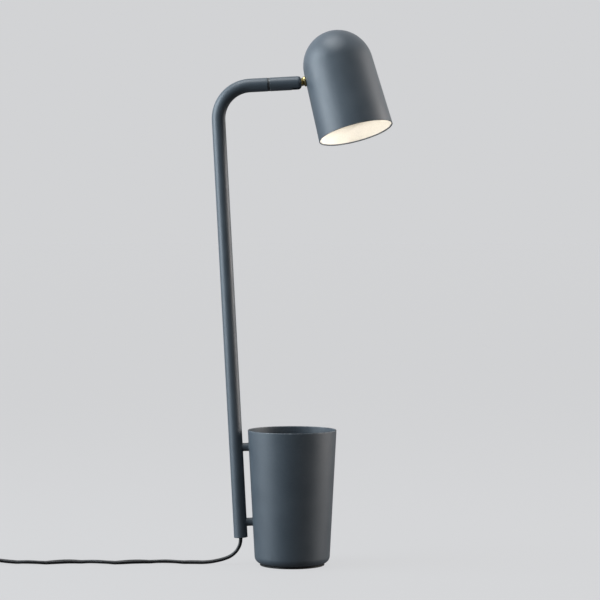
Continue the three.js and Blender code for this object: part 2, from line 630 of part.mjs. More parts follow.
function switchShells() {
  const { half, split, height, wall, cordZ, low, screw: hole, pocket, pocketTop } = SWITCH;
  const under = split - GAP / 2;
  const over = split + GAP / 2;
  const entryHalf = CORD.wide / 2 + GAP;
  const entryLow = cordZ - CORD.thick / 2 - GAP;
  const entry = block([-half - 2, -entryHalf, entryLow], [half + 2, entryHalf, split + 1]);
  const [windowX, windowY] = [ROCKER.half + ROCKER.clear, ROCKER.width + ROCKER.clear / 2];
  const window = block([-windowX, -windowY, split + 1], [windowX, windowY, height + 2]);
  const lower = switchHalf(low, under, low + wall, split + 1, 1, under);
  const upper = switchHalf(over, height, split - 1, height - wall, over, height - 1);
  const pockets = atPosts(() => rod(pocket, -1, pocketTop));
  const lowerHoles = atPosts(() => rod(hole, 0, split + 1));
  const upperHoles = atPosts(() => rod(hole, split - 1, split + SWITCH_SCREW.past + 0.4));
  const { from, past } = SWITCH_SCREW;
  return {
    lower: cut(lower, entry, ...pockets, ...lowerHoles),
    upper: cut(upper, window, ...upperHoles),
    screws: atPosts(() => screw(SWITCH_SCREW, from, split + past)),
  };
}

/** The rocker, a shallow V on top and round below, turned to one end of its swing. */
function rocker() {
  const { half, width, low, high, swing, keel } = ROCKER;
  const side = outline([
    [-half, -1, 0.8], [-4, -keel, 1], [4, -keel, 1], [half, -1, 0.8], [half, high, 0.8], [0, low],
    [-half, high, 0.8],
  ], true);
  const body = plate(side, -width, width).rotateX(Math.PI / 2);
  return body.rotateY((swing / 2) * DEG).translate(0, 0, ROCKER.z);
}

function addSwitch() {
  const body = new THREE.Group();
  const { lower, upper, screws } = switchShells();
  const { half, y: [y0, y1], z: [z0, z1] } = TERMINAL;
  const terminals = TERMINAL.x.map((x) => block([x - half, y0, z0], [x + half, y1, z1]));
  body.position.set(SWITCH.x, SWITCH.y, 0);
  body.add(
    piece('switch_lower_shell', lower, 'black'),
    piece('switch_upper_shell', upper, 'black'),
    piece('switch_screw_front', screws[0], 'steel'),
    piece('switch_screw_back', screws[1], 'steel'),
    piece('switch_terminal_in', terminals[0], 'brass'),
    piece('switch_terminal_out', terminals[1], 'brass'),
    piece('switch_rocker', rocker(), 'black'),
  );
  lamp.add(body);
}

// ---------------------------------------------------------------------------------------------- the plug
function addPlug(plugY) {
  const { half, thick, long, nose, tail, relief, pin, pinLong, core, sleeve: cover, spacing } = PLUG;
  const side = outline([
    [0, -half, 2.5], [0, half, 2.5], [-nose, half, 9], [-long, tail, 2], [-long, -tail, 2],
    [-nose, -half, 9],
  ], true);
  const neckEnd = relief - GAP;
  const neck = turned(outline([[0, 0], [RELIEF.thin, 0], [RELIEF.thick, neckEnd], [0, neckEnd]]), 16);
  const body = new THREE.Group();
  body.position.set(PLUG.x, plugY, PLUG.z);
  body.add(
    piece('plug_body', plate(side, -thick / 2, thick / 2), 'black'),
    piece('plug_relief', alongX(neck).translate(-long - relief, 0, 0), 'black'),
  );
  const bar = alongX(turned(outline([
    [0, GAP], [core, GAP], [core, cover + GAP], [pin, cover + GAP], [pin, pinLong, 1.2], [0, pinLong],
  ]), 14));
  const jacket = alongX(turnedRing(core + GAP, pin, GAP, cover, 14));
  [['front', -spacing / 2], ['back', spacing / 2]].forEach(([place, y]) => {
    body.add(
      piece(`plug_pin_${place}`, bar.clone().translate(0, y, 0), 'steel'),
      piece(`plug_pin_sleeve_${place}`, jacket.clone().translate(0, y, 0), 'black'),
    );
  });
  lamp.add(body);
}

addCup();
addBoss('upper', BOSS.upperZ);
addBoss('lower', BOSS.lowerZ);
addStem();
addSleeve();
addKnuckle();
addShade();
addSwitch();
addPlug(addCord());

export default lamp;
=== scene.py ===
"""A desk lamp that stands on a pen cup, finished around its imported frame.

The frame gives the place of every piece. Each sub-assembly below holds its own sizes in millimetres,
builds its pieces in a local frame and carries them into the lamp's frame, in metres. A bent tube rises
beside the cup, a sleeve turns on the end of its arm, and a domed shade tilts on a brass knuckle.
"""
import sys

import json
import logging
import math
from dataclasses import dataclass, field
from enum import Enum
from typing import Callable, Iterable, Optional, Sequence, Union

import bmesh
import bpy
from mathutils import Matrix, Vector


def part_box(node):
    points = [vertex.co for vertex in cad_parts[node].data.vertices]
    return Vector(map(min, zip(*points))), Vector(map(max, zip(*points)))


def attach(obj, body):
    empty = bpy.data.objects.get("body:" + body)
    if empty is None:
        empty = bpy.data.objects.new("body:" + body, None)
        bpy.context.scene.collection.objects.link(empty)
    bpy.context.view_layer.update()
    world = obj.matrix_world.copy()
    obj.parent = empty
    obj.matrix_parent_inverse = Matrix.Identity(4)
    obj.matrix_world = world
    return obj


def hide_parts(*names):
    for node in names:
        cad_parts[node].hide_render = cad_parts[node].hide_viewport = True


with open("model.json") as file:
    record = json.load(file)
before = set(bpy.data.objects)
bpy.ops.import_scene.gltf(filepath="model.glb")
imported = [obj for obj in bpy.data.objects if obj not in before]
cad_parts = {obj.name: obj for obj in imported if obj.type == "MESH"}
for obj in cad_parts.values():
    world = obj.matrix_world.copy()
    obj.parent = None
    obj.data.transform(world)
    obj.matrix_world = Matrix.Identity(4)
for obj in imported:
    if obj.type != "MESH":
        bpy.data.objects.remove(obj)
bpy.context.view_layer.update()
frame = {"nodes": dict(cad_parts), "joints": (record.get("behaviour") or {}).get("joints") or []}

log = logging.getLogger("desk_lamp")

MM = 0.001
ARC_STEP = math.radians(9)
SUPPORT = 0.3  # mm from an arc to the line's next point, which keeps flat faces flat when shaded
X_AXIS = Vector((1, 0, 0))
Y_AXIS = Vector((0, 1, 0))
Z_AXIS = Vector((0, 0, 1))

Point = tuple[float, float]
Color = tuple[float, float, float]
Value = Union[float, int, str, tuple, Vector, bpy.types.ID, bpy.types.NodeSocket]


class Slot(Enum):
    """The record's material slots."""

    PAINT = "blue_grey_paint"
    SHADE = "shade_paint"
    STEEL = "steel"
    BRASS = "aged_brass"
    PINS = "plated_pins"
    PLASTIC = "black_plastic"
    CORD = "cord_black"
    RUBBER = "foot_rubber"
    FELT = "grey_felt"
    CERAMIC = "holder_ceramic"
    BULB = "bulb_white"
    LENS = "bulb_lens"


class Body(Enum):
    """The moving bodies of the lamp."""

    BASE = "base"
    SLEEVE = "sleeve"
    HEAD = "head"
    ROCKER = "rocker"


# ------------------------------------------------------------------------------------ node trees
class Graph:
    """A node tree under construction."""

    def __init__(self, tree: bpy.types.NodeTree) -> None:
        """Starts the graph on an empty tree."""
        self.tree = tree

    def node(self, kind: str, inputs: Optional[dict] = None, **settings: Value) -> bpy.types.Node:
        """Adds a node.

        Args:
            kind: The node's type.
            inputs: A value or another node's socket for each input, by its name or its number.
            **settings: The node's own properties.

        Returns:
            The new node.
        """
        made = self.tree.nodes.new(kind)
        for name, value in settings.items():
            setattr(made, name, value)
        for key, value in (inputs or {}).items():
            if isinstance(value, bpy.types.NodeSocket):
                self.tree.links.new(value, made.inputs[key])
            else:
                made.inputs[key].default_value = value
        return made

    def math(self, operation: str, *values: Value) -> bpy.types.NodeSocket:
        """Adds a math node and returns its result."""
        math_kind = "ShaderNodeMath"
        return self.node(math_kind, dict(enumerate(values)), operation=operation).outputs[0]


class GeometryTree(Graph):
    """A Geometry Nodes tree with named inputs, which is run on an object to make a plain mesh."""

    def __init__(self, name: str) -> None:
        """Makes the tree with its first input and its output."""
        super().__init__(bpy.data.node_groups.new(name, "GeometryNodeTree"))
        face = self.tree.interface
        face.new_socket("Geometry", in_out="INPUT", socket_type="NodeSocketGeometry")
        face.new_socket("Geometry", in_out="OUTPUT", socket_type="NodeSocketGeometry")
        self.source = self.node("NodeGroupInput")
        self.sockets: dict[str, str] = {}

    def input(self, name: str, kind: str) -> bpy.types.NodeSocket:
        """Adds a named input of a socket kind and returns it."""
        item = self.tree.interface.new_socket(name, in_out="INPUT", socket_type="NodeSocket" + kind)
        self.sockets[name] = item.identifier
        return self.source.outputs[name]

    def attribute(self, name: str, kind: str) -> bpy.types.NodeSocket:
        """Reads a named attribute of a data type."""
        reader = "GeometryNodeInputNamedAttribute"
        return self.node(reader, {"Name": name}, data_type=kind).outputs["Attribute"]

    def sampled(self, source: bpy.types.NodeSocket, value: bpy.types.NodeSocket, index: Value,
                kind: str) -> bpy.types.NodeSocket:
        """Reads a value of another geometry's point.

        Args:
            source: The geometry.
            value: The field to read there.
            index: The point's number.
            kind: The value's data type.

        Returns:
            The value.
        """
        inputs = {"Geometry": source, "Value": value, "Index": index}
        return self.node("GeometryNodeSampleIndex", inputs, data_type=kind).outputs[0]

    def end(self, geometry: bpy.types.NodeSocket) -> None:
        """Ends the tree, with its instances made real."""
        real = self.node("GeometryNodeRealizeInstances", {"Geometry": geometry})
        self.node("NodeGroupOutput", {"Geometry": real.outputs[0]})

    def run(self, obj: bpy.types.Object, **values: Value) -> bpy.types.Object:
        """Runs the tree on an object, whose mesh becomes the result.

        Args:
            obj: The object, whose mesh is the tree's first input.
            **values: The named inputs, with _ for a space.

        Returns:
            The same object.
        """
        modifier = obj.modifiers.new(self.tree.name, "NODES")
        modifier.node_group = self.tree
        for name, value in values.items():
            if value is not None:
                modifier[self.sockets[name.replace("_", " ")]] = value
        return flattened(obj)


def flattened(obj: bpy.types.Object) -> bpy.types.Object:
    """Gives the object the mesh that its modifiers make, and removes them."""
    bpy.context.view_layer.update()
    evaluated = obj.evaluated_get(bpy.context.evaluated_depsgraph_get())
    mesh = bpy.data.meshes.new_from_object(evaluated)
    old = obj.data
    obj.modifiers.clear()
    obj.data = mesh
    bpy.data.meshes.remove(old)
    mesh.name = obj.name
    return obj


def grid_tree(name: str, wrap: Callable[[GeometryTree, Value, Value], Value]) -> GeometryTree:
    """A tree that bends a grid of columns and rows into a skin.

    Args:
        name: The tree's name.
        wrap: Gives a grid point's place from the tree, its column and its row.

    Returns:
        The tree. Its input mesh has one vertex for each row, with a wear attribute.
    """
    tree = GeometryTree(name)
    rows = tree.input("Rows", "Int")
    columns = tree.input("Columns", "Int")
    split = tree.input("Inside From Row", "Int")
    lining = tree.input("Lining", "Material")
    across = tree.math("ADD", columns, 1)
    grid = tree.node("GeometryNodeMeshGrid", {"Vertices X": across, "Vertices Y": rows})
    index = tree.node("GeometryNodeInputIndex").outputs[0]
    middle = tree.math("ADD", index, 0.5)
    column = tree.math("FLOOR", tree.math("DIVIDE", middle, rows))
    row = tree.math("SUBTRACT", index, tree.math("MULTIPLY", column, rows))
    place = wrap(tree, column, row)
    bent = tree.node("GeometryNodeSetPosition", {"Geometry": grid.outputs[0], "Position": place})
    worn = tree.sampled(tree.source.outputs[0], tree.attribute("wear", "FLOAT"), row, "FLOAT")
    skin = bent.outputs[0]
    for label, value in (("wear", worn), ("row", row)):
        inputs = {"Geometry": skin, "Name": label, "Value": value}
        skin = tree.node("GeometryNodeStoreNamedAttribute", inputs).outputs[0]
    merged = tree.node("GeometryNodeMergeByDistance", {"Geometry": skin, "Distance": 0.0005})
    smooth = tree.node("GeometryNodeSetShadeSmooth", {"Geometry": merged.outputs[0]})
    beyond = tree.math("GREATER_THAN", tree.attribute("row", "FLOAT"), split)
    bare = tree.node("GeometryNodeSetMaterial", {"Geometry": smooth.outputs[0]}).outputs[0]
    inputs = {"Geometry": bare, "Selection": beyond, "Material": lining}
    tree.end(tree.node("GeometryNodeSetMaterial", inputs).outputs[0])
    return tree


def turn_point(tree: GeometryTree, column: Value, row: Value) -> Value:
    """The place of a turned skin's point: the profile's point, turned about Z to its column."""
    position = tree.node("GeometryNodeInputPosition").outputs[0]
    profile = tree.sampled(tree.source.outputs[0], position, row, "FLOAT_VECTOR")
    parts = tree.node("ShaderNodeSeparateXYZ", {0: profile}).outputs
    turns = tree.math("DIVIDE", column, tree.source.outputs["Columns"])
    angle = tree.math("MULTIPLY", turns, 2 * math.pi)
    across = tree.math("MULTIPLY", parts[0], tree.math("COSINE", angle))
    along = tree.math("MULTIPLY", parts[0], tree.math("SINE", angle))
    return tree.node("ShaderNodeCombineXYZ", {0: across, 1: along, 2: parts[2]}).outputs[0]


def carry_point(tree: GeometryTree, column: Value, row: Value) -> Value:
    """The place of a carried skin's point: the section's point, set at its row's station."""
    section = tree.input("Section", "Object")
    outline_of = tree.node("GeometryNodeObjectInfo", {"Object": section}).outputs["Geometry"]
    position = tree.node("GeometryNodeInputPosition").outputs[0]
    around = tree.math("MODULO", column, tree.source.outputs["Columns"])
    shape = tree.sampled(outline_of, position, around, "FLOAT_VECTOR")
    parts = tree.node("ShaderNodeSeparateXYZ", {0: shape}).outputs
    stations = tree.source.outputs[0]
    place = tree.sampled(stations, position, row, "FLOAT_VECTOR")
    for label, part in (("side", parts[0]), ("up", parts[1])):
        way = tree.sampled(stations, tree.attribute(label, "FLOAT_VECTOR"), row, "FLOAT_VECTOR")
        step = tree.node("ShaderNodeVectorMath", {0: way, "Scale": part}, operation="SCALE")
        inputs = {0: place, 1: step.outputs[0]}
        place = tree.node("ShaderNodeVectorMath", inputs, operation="ADD").outputs[0]
    return place


def copies_tree() -> GeometryTree:
    """A tree that sets a copy of a shape at each point, along its aim and at its size."""
    tree = GeometryTree("copies")
    shape = tree.input("Shape", "Object")
    aim = tree.attribute("aim", "FLOAT_VECTOR")
    turned_to = tree.node("FunctionNodeAlignRotationToVector", {"Vector": aim}, axis="Z")
    copied = tree.node("GeometryNodeObjectInfo", {"Object": shape}).outputs["Geometry"]
    inputs = {
        "Points": tree.source.outputs[0],
        "Instance": copied,
        "Rotation": turned_to.outputs[0],
        "Scale": tree.attribute("size", "FLOAT_VECTOR"),
    }
    tree.end(tree.node("GeometryNodeInstanceOnPoints", inputs).outputs[0])
    return tree


def fibre_tree() -> GeometryTree:
    """A tree that scatters short fibres over a face, each turned at random."""
    tree = GeometryTree("felt_fibres")
    density = tree.input("Density", "Float")
    seed = tree.input("Seed", "Int")
    length = tree.input("Length", "Float")
    thickness = tree.input("Thickness", "Float")
    inputs = {"Mesh": tree.source.outputs[0], "Density": density, "Seed": seed}
    points = tree.node("GeometryNodeDistributePointsOnFaces", inputs)
    bow = tree.node("ShaderNodeCombineXYZ", {0: tree.math("MULTIPLY", length, 0.5), 2: length})
    far = tree.node("ShaderNodeCombineXYZ", {0: length})
    inputs = {"Resolution": 5, "Middle": bow.outputs[0], "End": far.outputs[0]}
    fibre = tree.node("GeometryNodeCurveQuadraticBezier", inputs)
    fibre.inputs["Start"].default_value = (0, 0, 0)
    section = tree.node("GeometryNodeCurvePrimitiveCircle", {"Resolution": 4, "Radius": thickness})
    inputs = {"Curve": fibre.outputs[0], "Profile Curve": section.outputs[0], "Fill Caps": True}
    strand = tree.node("GeometryNodeCurveToMesh", inputs)
    turn = tree.node("FunctionNodeRandomValue", {"Seed": seed}, data_type="FLOAT_VECTOR")
    turn.inputs["Min"].default_value = (-0.5, -0.5, 0)
    turn.inputs["Max"].default_value = (0.5, 0.5, 2 * math.pi)
    swell = tree.node("FunctionNodeRandomValue", {"Seed": seed}, data_type="FLOAT")
    swell.inputs[2].default_value = 0.5
    swell.inputs[3].default_value = 1.3
    inputs = {"Points": points.outputs[0], "Instance": strand.outputs[0],
              "Rotation": turn.outputs[0], "Scale": swell.outputs[1]}
    strands = tree.node("GeometryNodeInstanceOnPoints", inputs).outputs[0]
    both = tree.node("GeometryNodeJoinGeometry")
    for part in (strands, tree.source.outputs[0]):
        tree.tree.links.new(part, both.inputs[0])
    tree.end(both.outputs[0])
    return tree


TURNED = grid_tree("turned_skin", turn_point)
CARRIED = grid_tree("carried_skin", carry_point)
COPIES = copies_tree()
FIBRES = fibre_tree()


# -------------------------------------------------------------------------------------- finishes
class Shader(Graph):
    """A material's node tree around one glossy shader."""

    def __init__(self, name: str) -> None:
        """Makes the material with its shader and its object coordinates."""
        self.material = bpy.data.materials.new(name)
        self.material.use_nodes = True
        super().__init__(self.material.node_tree)
        self.tree.nodes.clear()
        self.bsdf = self.node("ShaderNodeBsdfPrincipled")
        self.node("ShaderNodeOutputMaterial", {"Surface": self.bsdf.outputs[0]})
        self.place = self.node("ShaderNodeTexCoord").outputs["Object"]

    def noise(self, size: float, detail: float = 2.0, distortion: float = 0.0) -> bpy.types.NodeSocket:
        """Noise with patches of a size.

        Args:
            size: The patches' size, in millimetres.
            detail: How many finer layers there are.
            distortion: How far the patches are pulled about.

        Returns:
            The noise, about 0.5.
        """
        inputs = {"Vector": self.place, "Scale": 1 / (size * MM), "Detail": detail,
                  "Distortion": distortion}
        return self.node("ShaderNodeTexNoise", inputs).outputs[0]

    def spread(self, value: Value, low: float, high: float, start: float = 0.3,
               stop: float = 0.7) -> bpy.types.NodeSocket:
        """Maps a value from start..stop to low..high."""
        inputs = {0: value, 1: start, 2: stop, 3: low, 4: high}
        return self.node("ShaderNodeMapRange", inputs).outputs[0]

    def mixed(self, share: Value, one: Value, other: Value) -> bpy.types.NodeSocket:
        """A colour between two, each a colour or a socket."""
        mix = self.node("ShaderNodeMix", data_type="RGBA")
        for key, value in ((0, share), (6, one), (7, other)):
            if isinstance(value, bpy.types.NodeSocket):
                self.tree.links.new(value, mix.inputs[key])
            else:
                mix.inputs[key].default_value = value if key == 0 else (*value, 1)
        return mix.outputs[2]

    def relief(self, height: Value, depth: float, under: Optional[Value] = None) -> Value:
        """Adds a bump.

        Args:
            height: The relief, from 0 to 1.
            depth: How deep it is, in millimetres.
            under: The normal of a bump below it.

        Returns:
            The new normal.
        """
        inputs = {"Height": height, "Distance": depth * MM, "Strength": 1.0}
        if under is not None:
            inputs["Normal"] = under
        return self.node("ShaderNodeBump", inputs).outputs[0]

    def connect(self, **sockets: Value) -> None:
        """Sets or links the shader's inputs, with _ for a space."""
        for name, value in sockets.items():
            key = name.replace("_", " ")
            if isinstance(value, bpy.types.NodeSocket):
                self.tree.links.new(value, self.bsdf.inputs[key])
            else:
                self.bsdf.inputs[key].default_value = value


def shade_of(color: Color, share: float) -> Color:
    """A colour made lighter or darker by a share."""
    return tuple(min(1.0, part * share) for part in color)


@dataclass(frozen=True)
class Finish:
    """A finish with mottled colour, uneven gloss and a fine relief."""

    name: str
    color: Color
    roughness: float
    metallic: float = 0.0
    specular: float = 0.5
    mottle: float = 0.06  # share by which the colour varies
    patch: float = 14.0  # mm, of the mottling
    grain: float = 0.6  # mm, of the relief
    relief: float = 0.01  # mm, its depth
    swing: float = 0.05  # of the roughness
    worn: Optional[Color] = None  # where edges are rubbed

    def material(self) -> bpy.types.Material:
        """Builds the finish."""
        shader = Shader(self.name)
        self.coat(shader)
        return shader.material

    def coat(self, shader: Shader) -> None:
        """Wires the finish into a shader."""
        patches = shader.noise(self.patch, 3.0)
        grain = shader.noise(self.grain, 2.0)
        low, high = (shade_of(self.color, 1 + way * self.mottle) for way in (-1, 1))
        color = shader.mixed(shader.spread(patches, 0, 1), low, high)
        speck = shader.mixed(shader.spread(grain, 0, 1, 0.35, 0.75), (0.88, 0.88, 0.88), (1.1, 1.1, 1.1))
        fleck = shader.node("ShaderNodeMix", {0: 0.5}, data_type="RGBA", blend_type="MULTIPLY")
        shader.tree.links.new(color, fleck.inputs[6])
        shader.tree.links.new(speck, fleck.inputs[7])
        color = fleck.outputs[2]
        rough = shader.spread(patches, self.roughness - self.swing, self.roughness + self.swing)
        if self.worn is not None:
            edge = shader.node("ShaderNodeAttribute", attribute_name="wear").outputs["Fac"]
            chips = shader.spread(shader.noise(2.2, 4.0), 0, 1, 0.46, 0.62)
            rubbed = shader.math("MULTIPLY", edge, chips)
            color = shader.mixed(rubbed, color, self.worn)
        shader.connect(Base_Color=color, Roughness=rough, Metallic=self.metallic,
                       Specular_IOR_Level=self.specular,
                       Normal=shader.relief(grain, self.relief, self.under(shader)))

    def under(self, shader: Shader) -> Optional[Value]:
        """The normal below the fine relief, which is the surface's own."""
        return None


@dataclass(frozen=True)
class PowderCoat(Finish):
    """Baked powder coat: a soft orange peel under a fine grain, and dust in broad patches."""

    peel: float = 2.6  # mm
    peel_depth: float = 0.006

    def under(self, shader: Shader) -> Optional[Value]:
        """The orange peel's normal."""
        return shader.relief(shader.noise(self.peel, 1.0), self.peel_depth)


@dataclass(frozen=True)
class DrawnMetal(Finish):
    """Metal with fine marks in its surface, and a tarnish in its patches."""

    tarnish: Color = (0.1, 0.08, 0.05)
    tarnished: float = 0.3

    def coat(self, shader: Shader) -> None:
        """Wires the fine marks and the tarnish into a shader."""
        super().coat(shader)
        lines = shader.noise(0.35, 3.0)
        cloud = shader.noise(self.patch / 2, 5.0, distortion=0.6)
        share = shader.spread(cloud, 0, self.tarnished, 0.42, 0.68)
        color = shader.mixed(share, self.color, self.tarnish)
        shader.connect(Base_Color=color, Normal=shader.relief(lines, self.relief),
                       Roughness=shader.spread(cloud, self.roughness - self.swing,
                                               self.roughness + 3 * self.swing))


@dataclass(frozen=True)
class Felt(Finish):
    """Pressed wool felt: tangled fibres in the relief and in the colour."""

    def coat(self, shader: Shader) -> None:
        """Wires the tangle of fibres into a shader."""
        tangle = shader.noise(self.grain, 5.0, distortion=3.0)
        low, high = (shade_of(self.color, 1 + way * self.mottle) for way in (-1, 1))
        color = shader.mixed(shader.spread(tangle, 0, 1, 0.35, 0.65), low, high)
        shader.connect(Base_Color=color, Roughness=self.roughness, Sheen_Weight=0.35,
                       Sheen_Roughness=0.5, Normal=shader.relief(tangle, self.relief))


@dataclass(frozen=True)
class GlowingLens(Finish):
    """A frosted bulb lens, brightest over its middle."""

    strength: float = 6.2
    dimmed: float = 0.45  # of the strength, at the edge
    radius: float = 24.0
    centre: tuple[float, float, float] = (0.0, 0.0, 0.0)
    tint: Color = (1, 0.985, 0.95)
    edge_tint: Color = (1, 0.93, 0.82)

    def coat(self, shader: Shader) -> None:
        """Wires the glow into a shader."""
        super().coat(shader)
        inputs = {0: shader.place, 1: self.centre}
        away = shader.node("ShaderNodeVectorMath", inputs, operation="DISTANCE").outputs["Value"]
        edge = self.radius * MM
        glow = shader.spread(away, self.strength, self.strength * self.dimmed, 0, edge)
        grain = shader.spread(shader.noise(1.4, 1.0), 0.9, 1.1)
        tint = shader.mixed(shader.spread(away, 0, 1, 0, edge), self.tint, self.edge_tint)
        shader.connect(Emission_Color=tint, Emission_Strength=shader.math("MULTIPLY", glow, grain))


LAMP = Matrix.Scale(MM, 4)
_boxes: dict[str, tuple[Vector, Vector]] = {}


def node_box(name: str) -> tuple[Vector, Vector]:
    """The lowest and highest corners of a node of the frame, in millimetres."""
    if name not in _boxes:
        low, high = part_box(name)
        _boxes[name] = (low / MM, high / MM)
    return _boxes[name]


def joint(name: str) -> dict:
    """The frame's joint of a name."""
    return next(j for j in frame["joints"] if j["name"] == name)


def axes(origin: Vector, x_axis: Vector, y_axis: Vector) -> Matrix:
    """A local frame: millimetres from an origin in metres, along two axes and their cross."""
    x_way = x_axis.normalized()
    y_way = y_axis.normalized()
    z_way = x_way.cross(y_way)
    turned_frame = Matrix((x_way, y_way, z_way)).transposed().to_4x4()
    return Matrix.Translation(origin) @ turned_frame @ LAMP


@dataclass(frozen=True)
class Frames:
    """The local frames of the lamp's sub-assemblies, worked out from its joints."""

    arm: float = 71.7  # mm, from the stem's middle line to the tilt's pivot
    height: float = 396.75  # mm, from the tube's foot to the arm's middle line
    tilt: float = math.radians(11.2)  # of the shade at rest
    reach: float = 37.69  # mm, from the pivot to the dome's middle
    rise: float = 6.0

    @property
    def pivot(self) -> Vector:
        """Where the shade tilts, in metres."""
        return Vector(joint("head_tilt")["pos_m"])

    @property
    def stem(self) -> Matrix:
        """From the tube's foot, +X along the arm and +Z up the tube."""
        along = Vector(joint("head_swivel")["axis"]).normalized()
        up = along.cross(Y_AXIS)
        foot = self.pivot - along * (self.arm * MM) - up * (self.height * MM)
        return axes(foot, along, Y_AXIS)

    @property
    def sleeve(self) -> Matrix:
        """From the pivot, +X along the arm and Y along the tilt pin."""
        return axes(self.pivot, Vector(joint("head_swivel")["axis"]), -Vector(joint("head_tilt")["axis"]))

    @property
    def head(self) -> Matrix:
        """From the pivot, +X to the shade and -Z the way its mouth faces."""
        return self.sleeve @ Matrix.Rotation(-self.tilt, 4, "Y")

    @property
    def shade(self) -> Matrix:
        """From the dome's middle, +Z the way the mouth faces."""
        return self.head @ Matrix.Translation((self.reach, 0, self.rise)) @ Matrix.Rotation(math.pi, 4, "X")

    @property
    def switch(self) -> Matrix:
        """From the surface below the switch's middle."""
        x, y, _ = joint("switch_rocker")["pos_m"]
        return Matrix.Translation((x, y, 0)) @ LAMP

    @property
    def plug(self) -> Matrix:
        """From the middle of the plug's front face, with its pins along +X."""
        low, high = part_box("plug_body")
        return Matrix.Translation((high.x, (low.y + high.y) / 2, (low.z + high.z) / 2)) @ LAMP


FRAMES = Frames()
BULB_FACE = 46.6  # mm, of the bulb's lens from the dome's middle

PAINT_COLOR = (0.062, 0.078, 0.094)


def paint(name: str) -> PowderCoat:
    """The lamp's blue-grey powder coat."""
    return PowderCoat(name, PAINT_COLOR, 0.46, mottle=0.05, grain=0.5, relief=0.004, worn=(0.2, 0.22, 0.24))


FINISHES: dict[Slot, Finish] = {
    Slot.PAINT: paint("blue_grey_powder_coat"),
    Slot.SHADE: paint("shade_powder_coat"),
    Slot.STEEL: DrawnMetal("zinc_plated_steel", (0.56, 0.57, 0.58), 0.3, 1.0, grain=0.3, relief=0.003,
                           tarnish=(0.3, 0.29, 0.27), tarnished=0.5),
    Slot.BRASS: DrawnMetal("aged_brass", (0.50, 0.41, 0.20), 0.34, 1.0, patch=6, grain=0.25,
                           relief=0.003, tarnish=(0.14, 0.11, 0.06), tarnished=0.55),
    Slot.PINS: DrawnMetal("nickel_plated_brass", (0.66, 0.63, 0.56), 0.2, 1.0, grain=0.3, relief=0.001,
                          tarnish=(0.4, 0.37, 0.3), tarnished=0.35),
    Slot.PLASTIC: Finish("moulded_black_plastic", (0.011, 0.011, 0.012), 0.5, grain=0.35, relief=0.012,
                         mottle=0.15, worn=(0.03, 0.03, 0.032)),
    Slot.CORD: Finish("black_cord_jacket", (0.004, 0.004, 0.0045), 0.42, grain=0.5, relief=0.01,
                      mottle=0.2, patch=9),
    Slot.RUBBER: Finish("black_rubber", (0.006, 0.006, 0.006), 0.75, grain=0.5, relief=0.02, mottle=0.2),
    Slot.FELT: Felt("dark_felt", (0.008, 0.008, 0.009), 0.95, grain=1.1, relief=0.25, mottle=0.45),
    Slot.CERAMIC: Finish("glazed_ceramic", (0.74, 0.71, 0.64), 0.22, grain=3.0, relief=0.02, mottle=0.03),
    Slot.BULB: Finish("white_bulb_plastic", (0.78, 0.77, 0.73), 0.36, grain=0.7, relief=0.006, mottle=0.03),
    Slot.LENS: GlowingLens("glowing_bulb_lens", (0.9, 0.88, 0.82), 0.4, grain=1.0, relief=0.05,
                           centre=tuple(FRAMES.shade @ Vector((0, 0, BULB_FACE)))),
}
DARK_STEEL = DrawnMetal("blackened_steel", (0.085, 0.092, 0.1), 0.45, 1.0, grain=0.3, relief=0.003)
ENAMEL = Finish("white_shade_enamel", (0.87, 0.84, 0.785), 0.34, grain=0.9, relief=0.006, mottle=0.03)
FLOOR = Finish("pale_floor", (0.026, 0.026, 0.0263), 0.9, specular=0.1, mottle=0.0, grain=2.0, relief=0.0,
               swing=0.0)
_materials: dict[str, bpy.types.Material] = {}


def coated(finish: Finish) -> bpy.types.Material:
    """The material of a finish, which is built once."""
    if finish.name not in _materials:
        _materials[finish.name] = finish.material()
    return _materials[finish.name]


# ---------------------------------------------------------------------------------------- shapes
def outline(corners: Sequence[tuple[float, ...]], closed: bool = False) -> list[Point]:
    """Rounds the corners of a line.

    Args:
        corners: (x, y) or (x, y, radius) of each corner, in millimetres.
        closed: Whether the line runs on from its last corner to its first.

    Returns:
        The line's points.
    """
    points: list[Vector] = []
    count = len(corners)
    for i, corner in enumerate(corners):
        here = Vector(corner[:2])
        radius = corner[2] if len(corner) > 2 else 0.0
        if radius <= 0 or (not closed and i in (0, count - 1)):
            points.append(here)
            continue
        back = (Vector(corners[i - 1][:2]) - here).normalized()
        onward = (Vector(corners[(i + 1) % count][:2]) - here).normalized()
        half = back.angle(onward) / 2
        centre = here + (back + onward).normalized() * (radius / math.sin(half))
        start = here + back * (radius / math.tan(half)) - centre
        stop = here + onward * (radius / math.tan(half)) - centre
        turn = math.copysign(math.pi - 2 * half, start.cross(stop))
        steps = max(3, math.ceil(abs(turn) / ARC_STEP))
        arc = [Matrix.Rotation(turn * k / steps, 2) @ start + centre for k in range(steps + 1)]
        points += [here + back * (radius / math.tan(half) + SUPPORT)] + arc
        points.append(here + onward * (radius / math.tan(half) + SUPPORT))
    kept = [points[0]]
    for point in points[1:]:
        if (point - kept[-1]).length > 0.01:
            kept.append(point)
    return [tuple(point) for point in kept]


def rounded(low: Point, high: Point, radius: float) -> list[Point]:
    """The outline of a rectangle between two corners, with its corners rounded."""
    return outline([(high[0], high[1], radius), (low[0], high[1], radius), (low[0], low[1], radius),
                    (high[0], low[1], radius)], closed=True)


